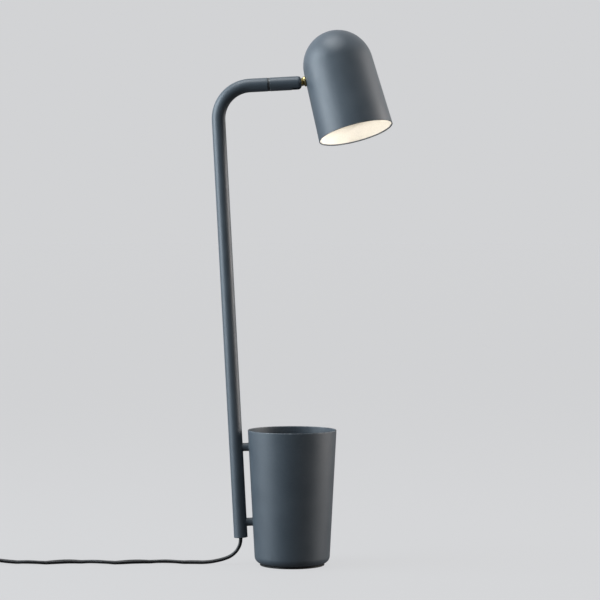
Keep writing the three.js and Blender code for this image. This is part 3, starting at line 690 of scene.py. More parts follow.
def oval(wide: float, thick: float, count: int = 20) -> list[Point]:
    """A flat section with round sides, counter-clockwise.

    Args:
        wide: Its width, in millimetres.
        thick: Its thickness.
        count: Its number of points, an even number.

    Returns:
        Its points.
    """
    half = count // 2
    points = []
    for side, sign in ((0, 1), (1, -1)):
        for i in range(half):
            angle = math.pi * (side + i / (half - 1) - 0.5)
            x = sign * (wide - thick) / 2 + thick / 2 * math.cos(angle)
            points.append((x, thick / 2 * math.sin(angle)))
    return points


def ring(radius: float, count: int) -> list[Point]:
    """The points of a circle, counter-clockwise."""
    turn = 2 * math.pi / count
    return [(radius * math.cos(turn * i), radius * math.sin(turn * i)) for i in range(count)]


def linked(name: str, mesh: bpy.types.Mesh) -> bpy.types.Object:
    """A new object of the scene with a mesh."""
    obj = bpy.data.objects.new(name, mesh)
    bpy.context.scene.collection.objects.link(obj)
    return obj


def line_of(name: str, points: Iterable[Sequence[float]], **fields: Sequence) -> bpy.types.Object:
    """An object of bare vertices that carry attributes.

    Args:
        name: Its name.
        points: Its vertices.
        **fields: A value for each vertex, by the attribute's name.

    Returns:
        The object.
    """
    mesh = bpy.data.meshes.new(name)
    mesh.from_pydata([tuple(p) for p in points], [], [])
    for label, values in fields.items():
        vectors = isinstance(values[0], (tuple, Vector))
        kind, key = ("FLOAT_VECTOR", "vector") if vectors else ("FLOAT", "value")
        flat = [part for value in values for part in value] if vectors else list(values)
        mesh.attributes.new(label, kind, "POINT").data.foreach_set(key, flat)
    return linked(name, mesh)


def turned(name: str, profile: Sequence[Point], sides: int = 96, lining: Optional[Finish] = None,
           lined_from: int = 0, worn: Optional[Callable[[float, float], float]] = None) -> bpy.types.Object:
    """A turned piece about Z.

    Args:
        name: Its name.
        profile: (radius, height) points, up the outside from the axis and back to it, or a closed loop.
        sides: Its number of sides.
        lining: The finish of its inside, if it has one of its own.
        lined_from: The profile's point from which the inside runs.
        worn: How rubbed a point of the profile is, from 0 to 1.

    Returns:
        The piece, in millimetres.
    """
    wear = [worn(r, z) if worn else 0.0 for r, z in profile]
    obj = line_of(name, [(r, 0, z) for r, z in profile], wear=wear)
    return TURNED.run(obj, Rows=len(profile), Columns=sides, Inside_From_Row=lined_from or len(profile),
                      Lining=coated(lining) if lining else None)


def lathe_ring(name: str, inner: float, outer: float, low: float, high: float, edge: float = 0.15,
               sides: int = 64) -> bpy.types.Object:
    """A turned ring with softened edges.

    Args:
        name: Its name.
        inner: The radius of its hole.
        outer: Its outside radius.
        low: Where it starts along Z.
        high: Where it ends.
        edge: The radius of its edges.
        sides: Its number of sides.

    Returns:
        The ring, in millimetres.
    """
    corners = [(inner, low, edge), (outer, low, edge), (outer, high, edge), (inner, high, edge)]
    profile = outline(corners, closed=True)
    return turned(name, [*profile, profile[0]], sides)


@dataclass(frozen=True)
class Station:
    """A place where a section stands: its middle, the way of its width and of its thickness."""

    place: Vector
    side: Vector
    up: Vector
    scale: float = 1.0
    wear: float = 0.0


def carried(name: str, stations: Sequence[Station], section: Sequence[Point]) -> bpy.types.Object:
    """A section carried along stations.

    Args:
        name: The piece's name.
        stations: The stations.
        section: The section's points, counter-clockwise.

    Returns:
        The piece, in millimetres.
    """
    shape = line_of(name + "_section", [(x, y, 0) for x, y in section])
    obj = line_of(
        name,
        [s.place for s in stations],
        side=[s.side * s.scale for s in stations],
        up=[s.up * s.scale for s in stations],
        wear=[s.wear for s in stations],
    )
    CARRIED.run(obj, Rows=len(stations), Columns=len(section), Inside_From_Row=len(stations), Section=shape)
    bpy.data.objects.remove(shape)
    return obj


def capped(name: str, stations: Sequence[Station], section: Sequence[Point]) -> bpy.types.Object:
    """Carries a section along stations, as carried does, and closes its two ends."""
    first, last = (Station(s.place, s.side, s.up, 0.0) for s in (stations[0], stations[-1]))
    return carried(name, [first, *stations, last], section)


def heading(path: Sequence[Vector], i: int) -> Vector:
    """Which way a path runs at one of its points."""
    return (path[min(i + 1, len(path) - 1)] - path[max(i - 1, 0)]).normalized()


def copies(name: str, shape: bpy.types.Object, points: Sequence[Vector], aims: Sequence[Vector],
           sizes: Optional[Sequence[Vector]] = None) -> bpy.types.Object:
    """Copies of a shape, which is used up.

    Args:
        name: The name of the piece that they make.
        shape: The shape, about the origin and along Z.
        points: Where each copy is.
        aims: Which way its Z points.
        sizes: Its scale, if it is scaled.

    Returns:
        The piece, in millimetres.
    """
    obj = line_of(name, points, aim=list(aims), size=list(sizes or [Vector((1, 1, 1))] * len(points)))
    COPIES.run(obj, Shape=shape)
    bpy.data.objects.remove(shape)
    return obj


def slab(name: str, points: Sequence[Point], low: float, high: float) -> bpy.types.Object:
    """A plate with a closed outline in XY, from low to high."""
    work = bmesh.new()
    under, over = ([work.verts.new((x, y, z)) for x, y in points] for z in (low, high))
    for i in range(len(points)):
        work.faces.new((under[i - 1], under[i], over[i], over[i - 1]))
    work.faces.new(under)
    work.faces.new(over)
    bmesh.ops.recalc_face_normals(work, faces=work.faces)
    mesh = bpy.data.meshes.new(name)
    work.to_mesh(mesh)
    work.free()
    return linked(name, mesh)


def box(name: str, low: Sequence[float], high: Sequence[float]) -> bpy.types.Object:
    """A plain block between two corners, to cut with."""
    corners = [(low[0], low[1]), (high[0], low[1]), (high[0], high[1]), (low[0], high[1])]
    return slab(name, corners, low[2], high[2])


def carve(obj: bpy.types.Object, *tools: bpy.types.Object, way: str = "DIFFERENCE") -> bpy.types.Object:
    """Cuts tools out of an object, or joins them to it.

    Args:
        obj: The object.
        *tools: The tools, which are used up.
        way: DIFFERENCE, UNION or INTERSECT.

    Returns:
        The object.
    """
    for tool in tools:
        modifier = obj.modifiers.new("carve", "BOOLEAN")
        modifier.operation = way
        modifier.solver = "MANIFOLD"
        modifier.object = tool
    flattened(obj)
    for tool in tools:
        bpy.data.objects.remove(tool)
    return obj


def bevelled(obj: bpy.types.Object, width: float, segments: int = 3, angle: float = 35) -> bpy.types.Object:
    """Rounds the edges of an object that are sharper than an angle in degrees."""
    obj.data.shade_smooth()
    modifier = obj.modifiers.new("edges", "BEVEL")
    modifier.width = width
    modifier.segments = segments
    modifier.limit_method = "ANGLE"
    modifier.angle_limit = math.radians(angle)
    modifier.harden_normals = True
    modifier.use_clamp_overlap = True
    return flattened(obj)


def creased(obj: bpy.types.Object, angle: float = 35) -> bpy.types.Object:
    """Shades an object smooth, with its edges sharper than an angle in degrees left crisp."""
    obj.data.shade_smooth()
    obj.data.set_sharp_from_angle(angle=math.radians(angle))
    return obj


def moved(obj: bpy.types.Object, matrix: Matrix) -> bpy.types.Object:
    """Moves an object's mesh by a matrix."""
    obj.data.transform(matrix)
    obj.data.update()
    return obj


def along_x(offset: Sequence[float] = (0, 0, 0)) -> Matrix:
    """Turns Z to X and moves to an offset."""
    return Matrix.Translation(offset) @ Matrix.Rotation(math.pi / 2, 4, "Y")


def along_y(offset: Sequence[float] = (0, 0, 0)) -> Matrix:
    """Turns Z to Y and moves to an offset."""
    return Matrix.Translation(offset) @ Matrix.Rotation(-math.pi / 2, 4, "X")


def joined(name: str, *objects: bpy.types.Object) -> bpy.types.Object:
    """Joins the meshes of objects into one object with their materials."""
    work = bmesh.new()
    materials: list[bpy.types.Material] = []
    for obj in objects:
        numbers = []
        for material in obj.data.materials:
            if material not in materials:
                materials.append(material)
            numbers.append(materials.index(material))
        for polygon in obj.data.polygons:
            polygon.material_index = numbers[polygon.material_index] if numbers else 0
        work.from_mesh(obj.data)
        bpy.data.objects.remove(obj)
    mesh = bpy.data.meshes.new(name)
    work.to_mesh(mesh)
    work.free()
    for material in materials:
        mesh.materials.append(material)
    return linked(name, mesh)


def smooth_path(route: Sequence[Vector], spacing: float) -> list[Vector]:
    """Even points on the smooth curve through a route.

    Args:
        route: The points that the curve passes.
        spacing: The distance between the even points.

    Returns:
        The even points, the route's two ends included.
    """
    ends = [2 * route[0] - route[1], *route, 2 * route[-1] - route[-2]]
    dense: list[Vector] = []
    for a, b, c, d in zip(ends, ends[1:], ends[2:], ends[3:]):
        knots = [0.0]
        for one, other in ((a, b), (b, c), (c, d)):
            knots.append(knots[-1] + math.sqrt((other - one).length))
        t0, t1, t2, t3 = knots
        for k in range(12):
            t = t1 + (t2 - t1) * k / 12
            p = a.lerp(b, (t - t0) / (t1 - t0))
            q = b.lerp(c, (t - t1) / (t2 - t1))
            r = c.lerp(d, (t - t2) / (t3 - t2))
            before, after = p.lerp(q, (t - t0) / (t2 - t0)), q.lerp(r, (t - t1) / (t3 - t1))
            dense.append(before.lerp(after, (t - t1) / (t2 - t1)))
    dense.append(route[-1].copy())
    return even_points(dense, spacing)


def path_length(points: Sequence[Vector]) -> float:
    """The length of a line of points."""
    return sum((b - a).length for a, b in zip(points, points[1:]))


def even_points(points: Sequence[Vector], spacing: float) -> list[Vector]:
    """Points at even distances along a line of points."""
    count = max(2, round(path_length(points) / spacing))
    step = path_length(points) / count
    found = [points[0].copy()]
    gone = 0.0
    for a, b in zip(points, points[1:]):
        run = (b - a).length
        while len(found) < count and gone + run >= step * len(found):
            found.append(a.lerp(b, (step * len(found) - gone) / run))
        gone += run
    found.append(points[-1].copy())
    return found


def eased(value: float) -> float:
    """A smooth step from 0 to 1."""
    value = min(1.0, max(0.0, value))
    return value * value * (3 - 2 * value)


# ----------------------------------------------------------------------------------- assemblies
@dataclass
class Piece:
    """A finished piece: its object, body and slot, and the nodes that it stands for."""

    obj: bpy.types.Object
    body: Body
    slot: Slot
    nodes: tuple[str, ...]


@dataclass
class Assembly:
    """A sub-assembly of the lamp, with its sizes in millimetres."""

    pieces: list[Piece] = field(default_factory=list, init=False)

    def add(self, obj: bpy.types.Object, place: Matrix, body: Body, slot: Slot, *nodes: str) -> None:
        """Carries a piece into the lamp's frame and keeps it for dressing.

        Args:
            obj: The piece, in its own frame.
            place: That frame.
            body: The body that it moves with.
            slot: The slot of its finish.
            *nodes: The nodes that it stands for.
        """
        moved(obj, place)
        self.pieces.append(Piece(obj, body, slot, nodes))

    def build(self) -> None:
        """Builds the sub-assembly's pieces."""
        raise NotImplementedError

    def dress(self) -> None:
        """Gives each piece the finish of its slot, attaches it to its body, and hides the nodes that it
        stands for.
        """
        for piece in self.pieces:
            materials = piece.obj.data.materials
            if not materials:
                materials.append(None)
            for i, material in enumerate(materials):
                materials[i] = material or coated(FINISHES[piece.slot])
            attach(piece.obj, piece.body.value)
            if piece.nodes:
                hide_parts(*piece.nodes)
            log.info("%-26s %-7s %-16s %6d faces%s", piece.obj.name, piece.body.value, piece.slot.value,
                     len(piece.obj.data.polygons), self.misfit(piece))

    @staticmethod
    def misfit(piece: Piece) -> str:
        """Words on how far a piece's box is from its nodes' box, where that is over a millimetre."""
        if not piece.nodes:
            return ""
        boxes = [node_box(node) for node in piece.nodes]
        points = [v.co / MM for v in piece.obj.data.vertices]
        gaps = []
        for i in range(3):
            gaps.append(abs(min(p[i] for p in points) - min(low[i] for low, _ in boxes)))
            gaps.append(abs(max(p[i] for p in points) - max(high[i] for _, high in boxes)))
        return f", off by {max(gaps):.1f} mm" if max(gaps) > 1 else ""


@dataclass
class KeptNodes(Assembly):
    """The frame's own pieces that stay, most of them hidden inside, with their finishes."""

    slots: dict[str, Slot] = field(default_factory=lambda: {
        "ballast_disc": Slot.STEEL,
        "ballast_screw": Slot.STEEL,
        "inner_lead": Slot.CORD,
        "swivel_spigot": Slot.STEEL,
        "switch_terminal_in": Slot.BRASS,
        "switch_terminal_out": Slot.BRASS,
    })

    def build(self) -> None:
        """Has nothing to build."""

    def dress(self) -> None:
        """Gives each kept node its finish."""
        for name, slot in self.slots.items():
            mesh = frame["nodes"][name].data
            mesh.materials.clear()
            mesh.materials.append(coated(FINISHES[slot]))
            log.info("%-26s kept, %s", name, slot.value)


@dataclass
class Studio:
    """The pale floor, the soft lights, the even backdrop and the camera."""

    distance: float = 2.0  # metres from the lamp
    height: float = 0.29276
    aside: float = 0.0069
    pitch: float = math.radians(1.69)
    lens_angle: float = math.radians(15.03)
    floor_size: float = 60.0
    floor_glow: float = 0.942  # as it is seen
    floor_bounce: float = 0.12  # as it lights the lamp
    backdrop: Color = (0.645, 0.651, 0.664)
    aim: tuple[float, float, float] = (0, 0, 0.25)  # what the lights face
    lights: tuple = (
        ("key_left", (-1.15, -0.25, 0.6), (1.0, 1.3), 32, (0.82, 0.92, 1)),
        ("fill_right", (1.3, 0.12, 0.45), (1.05, 1.1), 20, (1, 0.93, 0.88)),
        ("top_soft", (-0.25, -0.2, 1.6), (0.9, 0.7), 14, (0.93, 0.97, 1)),
    )

    def camera(self) -> None:
        """Makes the camera."""
        data = bpy.data.cameras.new("camera")
        data.angle = self.lens_angle
        data.clip_start = 0.05
        data.clip_end = 200
        camera = bpy.data.objects.new("camera", data)
        camera.location = (self.aside, -self.distance, self.height)
        camera.rotation_euler = (math.pi / 2 - self.pitch, 0, 0)
        bpy.context.scene.collection.objects.link(camera)
        bpy.context.scene.camera = camera

    def light(self, name: str, place: Sequence[float], size: tuple[float, float], power: float,
              color: Color) -> None:
        """Adds a soft box that faces the lamp.

        Args:
            name: Its name.
            place: Its middle, in metres.
            size: Its width and height, in metres.
            power: Its power, in watts.
            color: Its colour.
        """
        data = bpy.data.lights.new(name, "AREA")
        data.shape = "RECTANGLE"
        data.size, data.size_y = size
        data.energy = power
        data.color = color
        lamp = bpy.data.objects.new(name, data)
        lamp.location = place
        lamp.rotation_euler = (Vector(self.aim) - Vector(place)).to_track_quat("-Z", "Y").to_euler()
        lamp.visible_camera = False
        bpy.context.scene.collection.objects.link(lamp)

    def world(self) -> None:
        """Makes the backdrop: even where it is seen, and dimmer towards the front where it lights."""
        world = bpy.data.worlds.new("studio")
        world.use_nodes = True
        graph = Graph(world.node_tree)
        graph.tree.nodes.clear()
        way = graph.node("ShaderNodeTexCoord").outputs["Generated"]
        parts = graph.node("ShaderNodeSeparateXYZ", {0: way}).outputs
        inputs = {0: parts[1], 1: -0.25, 2: 0.35, 3: 0.05, 4: 1.0}
        behind = graph.node("ShaderNodeMapRange", inputs).outputs[0]
        lit = graph.node("ShaderNodeBackground", {0: (*self.backdrop, 1), 1: behind})
        seen = graph.node("ShaderNodeBackground", {0: (*self.backdrop, 1), 1: 1.0})
        ray = graph.node("ShaderNodeLightPath").outputs["Is Camera Ray"]
        mix = graph.node("ShaderNodeMixShader", {0: ray, 1: lit.outputs[0], 2: seen.outputs[0]})
        graph.node("ShaderNodeOutputWorld", {"Surface": mix.outputs[0]})
        bpy.context.scene.world = world

    def floor(self) -> None:
        """Makes the floor, which glows softly so that shadows on it stay faint."""
        obj = slab("floor", ring(self.floor_size, 64), -0.05, 0)
        material = coated(FLOOR)
        graph = Graph(material.node_tree)
        bsdf = next(n for n in material.node_tree.nodes if n.type == "BSDF_PRINCIPLED")
        ray = graph.node("ShaderNodeLightPath").outputs["Is Camera Ray"]
        glow = graph.node("ShaderNodeMapRange", {0: ray, 3: self.floor_bounce, 4: self.floor_glow})
        bsdf.inputs["Emission Color"].default_value = (*self.backdrop, 1)
        graph.tree.links.new(glow.outputs[0], bsdf.inputs["Emission Strength"])
        obj.data.materials.append(material)

    def build(self) -> None:
        """Builds the studio round the camera."""
        self.world()
        self.floor()
        for light in self.lights:
            self.light(*light)
        scene = bpy.context.scene
        scene.view_settings.view_transform = "Standard"
        scene.cycles.use_denoising = True


@dataclass
class FlatCord(Assembly):
    """The flat two-core cord, from the tube's foot through the switch and the coil to the plug."""

    wide: float = 5.0
    thick: float = 3.0
    length: float = 1800.0
    lead: tuple = (
        (-45.3, 0, 24.3), (-45.9, 0.2, 18.7), (-47.8, 0.5, 14.2), (-50.8, 0.9, 10.3), (-54.8, 1.3, 7.3),
        (-59.6, 1.7, 5.2), (-65.6, 2.2, 3.5), (-72.6, 2.7, 2.2), (-81.0, 3.4, 1.6), (-90.0, 4.0, 1.55),
        (-100.0, 4.9, 1.55), (-112.0, 6.7, 1.55), (-125.0, 7.3, 1.55), (-138.0, 4.6, 1.55),
        (-152.0, 1.5, 1.55), (-166.0, 2.4, 1.55), (-180.0, 5.8, 1.55), (-194.0, 6.2, 1.55),
        (-208.0, 2.9, 1.55), (-222.0, 1.0, 1.55), (-234.0, 2.2, 1.55), (-246.0, 3.9, 1.9),
        (-257.0, 4.2, 2.9), (-267.7, 4.0, 4.4),
    )
    link: tuple = (
        (-328.3, 4.0, 4.4), (-335.0, 3.4, 4.2), (-342.5, 0.3, 3.9), (-349.5, -5.6, 3.7),
        (-356.5, -12.2, 3.5), (-363.3, -17.0, 3.4), (-370.5, -18.8, 3.3),
    )
    turns: float = 8.5
    climb: float = 0.6  # turns between the lower and the upper layer
    closest: float = 3.03  # from one turn to the next
    widest: float = 3.7
    layer_low: float = 3.5  # the middle of each layer's turns
    layer_high: float = 8.7
    roll: float = math.radians(13)  # of the loose stretch, to and fro
    roll_length: float = 62.0
    path: list = field(default_factory=list, init=False)

    def coil(self, pitch: float) -> list[Vector]:
        """The coil's turns: in along the lower layer, up, and out along the upper one.

        Args:
            pitch: The distance from one turn to the next.

        Returns:
            Points on the turns, 24 to a turn.
        """
        low, high = node_box("cord_coil")
        middle = (low + high) / 2
        outer = (high.x - low.x) / 2 - self.thick / 2
        wound = (self.turns - self.climb) / 2
        points = []
        steps = math.ceil(24 * self.turns)
        for i in range(steps + 1):
            gone = self.turns * i / steps
            inward = min(gone, wound)
            outward = max(0.0, gone - wound - self.climb)
            radius = outer - pitch * (inward - outward)
            angle = -math.pi / 2 - 2 * math.pi * gone
            lift = eased((gone - wound) / self.climb) * (self.layer_high - self.layer_low)
            x = middle.x + radius * math.cos(angle)
            y = middle.y + radius * math.sin(angle)
            points.append(Vector((x, y, self.layer_low + lift)))
        return points

    def route(self, pitch: float) -> list[Vector]:
        """The whole route for a distance between the coil's turns."""
        plug = FRAMES.plug.translation / MM
        relief = node_box("plug_relief")[0].x
        turns = self.coil(pitch)
        far = turns[-1]
        tail = [
            Vector((far.x + 9, plug.y, far.z - 0.2)),
            Vector(((far.x + 9 + relief) / 2, plug.y, (far.z + plug.z) / 2)),
            Vector((relief, plug.y, plug.z)),
            Vector((relief + 4, plug.y, plug.z)),
        ]
        points = [Vector(p) for p in self.lead + self.link] + turns + tail
        return smooth_path(points, 2.0)

    def stations(self) -> list[Station]:
        """Stations along the path: wide side down on the surface, and on edge in the coil."""
        path = self.path
        found = []
        coil_low, coil_high = node_box("cord_coil")
        coil_middle = (coil_low + coil_high) / 2
        coil_radius = (coil_high.x - coil_low.x) / 2
        gone = 0.0
        for i, place in enumerate(path):
            gone += (place - path[max(i - 1, 0)]).length
            run = heading(path, i)
            level = Z_AXIS.cross(run) - Y_AXIS * abs(run.z) * 0.3
            level.normalize()
            away = math.hypot(place.x - coil_middle.x, place.y - coil_middle.y)
            edge = 1 - eased((away - coil_radius + 1) / 34)
            loose = eased((-place.x - 70) / 40) * eased((place.x + 262) / 30)
            angle = edge * math.pi / 2 + loose * self.roll * math.sin(2 * math.pi * gone / self.roll_length)
            side = level * math.cos(angle) + run.cross(level) * math.sin(angle)
            side = (side - run * side.dot(run)).normalized()
            up = run.cross(side)
            lift = 0.0
            if loose > 0:
                half = abs(math.sin(angle)) * self.wide / 2 + abs(math.cos(angle)) * self.thick / 2
                lift = max(0.0, half + 0.05 - place.z)
            place = place + Z_AXIS * lift
            found.append(Station(place, side, up))
        return found

    def build(self) -> None:
        """Tunes the coil to the cord's length and makes the cord."""
        least, most = self.closest, self.widest
        for _ in range(20):
            pitch = (least + most) / 2
            if path_length(self.route(pitch)) > self.length:
                least = pitch
            else:
                most = pitch
        self.path = self.route(least)
        log.info("cord: %.1f mm, turns %.2f mm apart", path_length(self.path), least)
        stations = self.stations()
        self.path = [s.place for s in stations]
        obj = capped("flat_cord", stations, oval(self.wide, self.thick))
        self.add(obj, LAMP, Body.BASE, Slot.CORD, "cord_lead", "cord_link", "cord_coil", "cord_tail")

    def declare(self, *assemblies: Assembly) -> None:
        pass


@dataclass
class PenCup(Assembly):
    """The pen cup that the lamp stands on, with its foot pad and the mat inside."""

    foot: float = 32.9
    rim: float = 39.1
    wall: float = 1.2
    corner: float = 6.5
    lip: float = 0.55
    groove: float = 0.5  # of the pad's rings
    mat: float = 31.0

    def shell_profile(self) -> list[Point]:
        """The cup's outline, up its outside and down its inside."""
        low, high = (corner.z for corner in node_box("cup_shell"))
        slope = (self.rim - self.foot) / (high - low)
        inner_foot = self.foot + slope * self.wall - self.wall
        return outline([
            (0, low), (self.foot, low, self.corner), (self.rim, high, self.lip),
            (self.rim - self.wall, high, self.lip), (inner_foot, low + self.wall, self.corner - self.wall),
            (0, low + self.wall),
        ])

    def build(self) -> None:
        """Builds the shell, the pad and the mat."""
        top = node_box("cup_shell")[1].z

        def rubbed(radius: float, height: float) -> float:
            """How rubbed the coat is: along the rim and round the foot."""
            return eased((height - top + 1.0) / 1.0) * 0.8 + eased((4 - height) / 3) * 0.5

        shell = turned("cup_shell_coated", self.shell_profile(), 160, worn=rubbed)
        self.add(shell, LAMP, Body.BASE, Slot.PAINT, "cup_shell")
        self.add(self.pad(), LAMP, Body.BASE, Slot.RUBBER, "foot_pad")
        self.add(self.felt(), LAMP, Body.BASE, Slot.FELT, "cup_mat")

    def pad(self) -> bpy.types.Object:
        """The rubber pad, with shallow rings under it."""
        _, high = node_box("foot_pad")
        radius, top = high.x, high.z + 0.3
        corners: list[tuple[float, ...]] = [(0, 0.3)]
        for at in range(6, 25, 3):
            corners += [(at, 0.3), (at + self.groove, 0), (at + 3 - self.groove, 0), (at + 3, 0.3)]
        corners = corners[:-1] + [(radius, 0, 0.3), (radius, top, 0.3), (0, top)]
        return turned("foot_pad_moulded", outline(corners), 96)

    def felt(self) -> bpy.types.Object:
        """The felt mat, with loose fibres standing on it."""
        low, high = (corner.z for corner in node_box("cup_mat"))
        edge = outline([(0, low), (self.mat, low, 0.3), (self.mat, high, 0.6), (0, high)])
        mat = turned("cup_mat_felt", edge, 72)
        top = slab("mat_top", ring(self.mat - 0.8, 48), high - 0.2, high - 0.05)
        FIBRES.run(top, Density=0.55, Seed=7, Length=1.5, Thickness=0.05)
        return joined("cup_mat_felt", mat, top)


@dataclass
class StemTube(Assembly):
    """The bent tube with its bosses, their screws and washers, its bush and its end washer."""

    radius: float = 6.0
    wall: float = 1.0
    bend: float = 29.0
    end: float = 44.8
    lip: float = 0.22
    boss: float = 3.6
    boss_heights: tuple = (("upper", 79.5), ("lower", 13.3))
    weld: float = 0.7
    screw_head: float = 3.8
    screw_rise: float = 2.6
    washer: float = 5.0
    washer_rise: float = 1.5
    seam: tuple = (5.0, 5.85, 44.85, 46.6)  # the end washer's hole, outside, start and end

    def line(self) -> list[tuple[Vector, Vector]]:
        """The tube's middle line, from its foot to its far end: points and the way to +Z there."""
        height = FRAMES.height
        found = [(Vector((0, 0, z)), X_AXIS) for z in
                 (0, 0.8, *range(20, int(height - self.bend), 20), height - self.bend)]
        steps = 20
        for i in range(1, steps + 1):
            angle = math.pi / 2 * i / steps
            inwards = Vector((math.cos(angle), 0, -math.sin(angle)))
            centre = Vector((self.bend, 0, height - self.bend))
            found.append((centre - inwards * self.bend, inwards))
        found += [(Vector((x, 0, height)), -Z_AXIS) for x in (self.end - 6, self.end - 0.8, self.end)]
        return found

    def tube(self) -> bpy.types.Object:
        """The hollow tube: one skin that runs up the outside and back down the bore."""
        line = self.line()
        bore = self.radius - self.wall
        (foot, foot_in), (tip, tip_in) = line[0], line[-1]

        def at(place: Vector, inwards: Vector, radius: float, wear: float = 0.0) -> Station:
            """A round station of the tube."""
            return Station(place, Y_AXIS * radius, inwards * radius, 1.0, wear)

        stations = [at(p, n, self.radius, 0.0) for p, n in line[1:-1]]
        lip_out, lip_in = self.radius - self.lip, bore + self.lip
        start = [at(foot + Z_AXIS * self.lip, foot_in, self.radius, 0.8),
                 at(foot + Z_AXIS * self.lip * 0.3, foot_in, self.radius - self.lip * 0.3, 0.8)]
        stop = [at(tip - X_AXIS * self.lip, tip_in, self.radius), at(tip, tip_in, lip_out),
                at(tip, tip_in, lip_in), at(tip - X_AXIS * self.lip, tip_in, bore)]
        back = [at(p, n, bore) for p, n in reversed(line[1:-1])]
        foot_ring = [at(foot + Z_AXIS * self.lip, foot_in, bore), at(foot, foot_in, lip_in, 0.8),
                     at(foot, foot_in, lip_out, 0.8)]
        loop = [*start[::-1], *stations, *stop, *back, *foot_ring]
        loop.append(loop[0])
        return carried("stem_tube_bent", loop, ring(1.0, 56))

    def cup_gap(self, height: float, across: float, inset: float) -> float:
        """How far along the arm the cup's wall is, in the stem's frame.

        Args:
            height: Where, up the stem.
            across: Where, along Y.
            inset: How far inside the cup's outside.

        Returns:
            The distance from the stem's middle line.
        """
        cup = PenCup()
        low, high = (corner.z for corner in node_box("cup_shell"))
        place = FRAMES.stem @ Vector((self.radius + 5, across, height)) / MM
        radius = cup.foot + (cup.rim - cup.foot) * (place.z - low) / (high - low) - inset
        x = -math.sqrt(radius * radius - across * across)
        return (FRAMES.stem.inverted() @ (Vector((x, across, place.z)) * MM)).x

    def boss_piece(self, name: str, height: float) -> bpy.types.Object:
        """One boss, with a fillet of weld at the tube and at the cup."""
        far = self.cup_gap(height, 0, 0)
        near = self.radius
        weld, radius = self.weld, self.boss
        steps = 5
        corners: list[Point] = [(0, near - 1.2), (radius + weld, near - 1.0)]
        curve = [(1 - math.sin(angle), 1 - math.cos(angle))
                 for angle in (math.pi / 2 * i / steps for i in range(steps + 1))]
        corners += [(radius + weld * out, near - 0.1 + weld * on) for out, on in curve]
        corners += [(radius + weld * out, far - weld * on) for out, on in reversed(curve)]
        corners += [(radius + weld, far + 0.5), (0, far + 0.5)]
        piece = turned(name, corners, 48)
        moved(piece, along_x((0, 0, height)))
        for vertex in piece.data.vertices:
            sag = self.radius - math.sqrt(max(0, self.radius ** 2 - vertex.co.y ** 2))
            if vertex.co.x < near + weld:
                vertex.co.x -= sag
        return piece

    def saddle(self, name: str, height: float) -> bpy.types.Object:
        """A washer whose back follows the inside of the cup."""
        base = self.cup_gap(height, 0, 1.2)
        top = base + 0.1 + self.washer_rise
        hole, edge = 2.1, 0.25
        outside = self.washer
        corners = [(hole, base), (outside, base), (outside, top, edge), (hole, top, edge), (hole, base)]
        piece = turned(name, outline(corners), 48)
        moved(piece, along_x((0, 0, height)))
        for vertex in piece.data.vertices:
            share = 1 - (vertex.co.x - base) / (top - base)
            gap = self.cup_gap(vertex.co.z, vertex.co.y, 1.2) - base
            vertex.co.x += gap * max(0.0, share)
        return piece

    def cup_screws(self) -> bpy.types.Object:
        """Both cup screws."""
        points = [Vector((self.cup_gap(height, 0, 1.2) + 0.2 + self.washer_rise, 0, height))
                  for _, height in self.boss_heights]
        return pan_heads("cup_screws", points, X_AXIS, self.screw_head, self.screw_rise, 2.0, 8.0)

    def bush(self) -> bpy.types.Object:
        """The rubber bush in the tube's foot, which the cord comes out of."""
        bore = self.radius - self.wall
        profile = outline([(0, 0, 0), (bore - 0.1, 0, 0.5), (bore - 0.1, 9.9, 0.4), (0, 9.9)])
        body = turned("cord_bush", profile, 48)
        hole = slab("hole", oval(5.5, 3.5, 24), -2, 12)
        moved(hole, Matrix.Rotation(math.pi / 2, 4, "Z"))
        return creased(carve(body, hole))

    def build(self) -> None:
        """Builds the tube and what is on it."""
        stem = FRAMES.stem
        self.add(self.tube(), stem, Body.BASE, Slot.PAINT, "stem_tube")
        for name, height in self.boss_heights:
            boss = self.boss_piece(f"{name}_boss_welded", height)
            self.add(boss, stem, Body.BASE, Slot.PAINT, f"{name}_boss")
            washer = self.saddle(f"{name}_saddle_washer_shaped", height)
            self.add(washer, stem, Body.BASE, Slot.STEEL, f"{name}_saddle_washer")
        self.add(self.cup_screws(), stem, Body.BASE, Slot.STEEL, "upper_cup_screw", "lower_cup_screw")
        self.add(self.bush(), stem, Body.BASE, Slot.RUBBER, "cord_grommet")
        washer = lathe_ring("swivel_washer_turned", *self.seam, 0.2)
        washer.data.materials[0] = coated(DARK_STEEL)
        moved(washer, along_x((0, 0, FRAMES.height)))
        self.add(washer, stem, Body.BASE, Slot.STEEL, "swivel_washer")


def pan_heads(name: str, points: Sequence[Vector], aim: Vector, head: float, rise: float, shank: float,
              length: float) -> bpy.types.Object:
    """Pan-head screws, each with a cross cut in its head.

    Args:
        name: The name of the piece that they make.
        points: Where the underside of each head is.
        aim: Which way the heads point.
        head: The head's radius.
        rise: The head's height.
        shank: The shank's radius.
        length: The shank's length.

    Returns:
        The screws as one piece, in millimetres.
    """
    profile = outline([(0, -length), (shank, -length, 0.3), (shank, 0), (head, 0, 0.2),
                       (head, rise, rise * 0.62), (0, rise)])
    body = turned("pan_head", profile, 40)
    arm, slot_width = head * 0.55, head * 0.16
    tools = []
    for angle in (0, math.pi / 2):
        tool = box("cross", (-arm, -slot_width, rise * 0.35), (arm, slot_width, rise + 1))
        tools.append(moved(tool, Matrix.Rotation(angle, 4, "Z")))
    shape = creased(carve(body, *tools), 40)
    return copies(name, shape, points, [aim] * len(points))


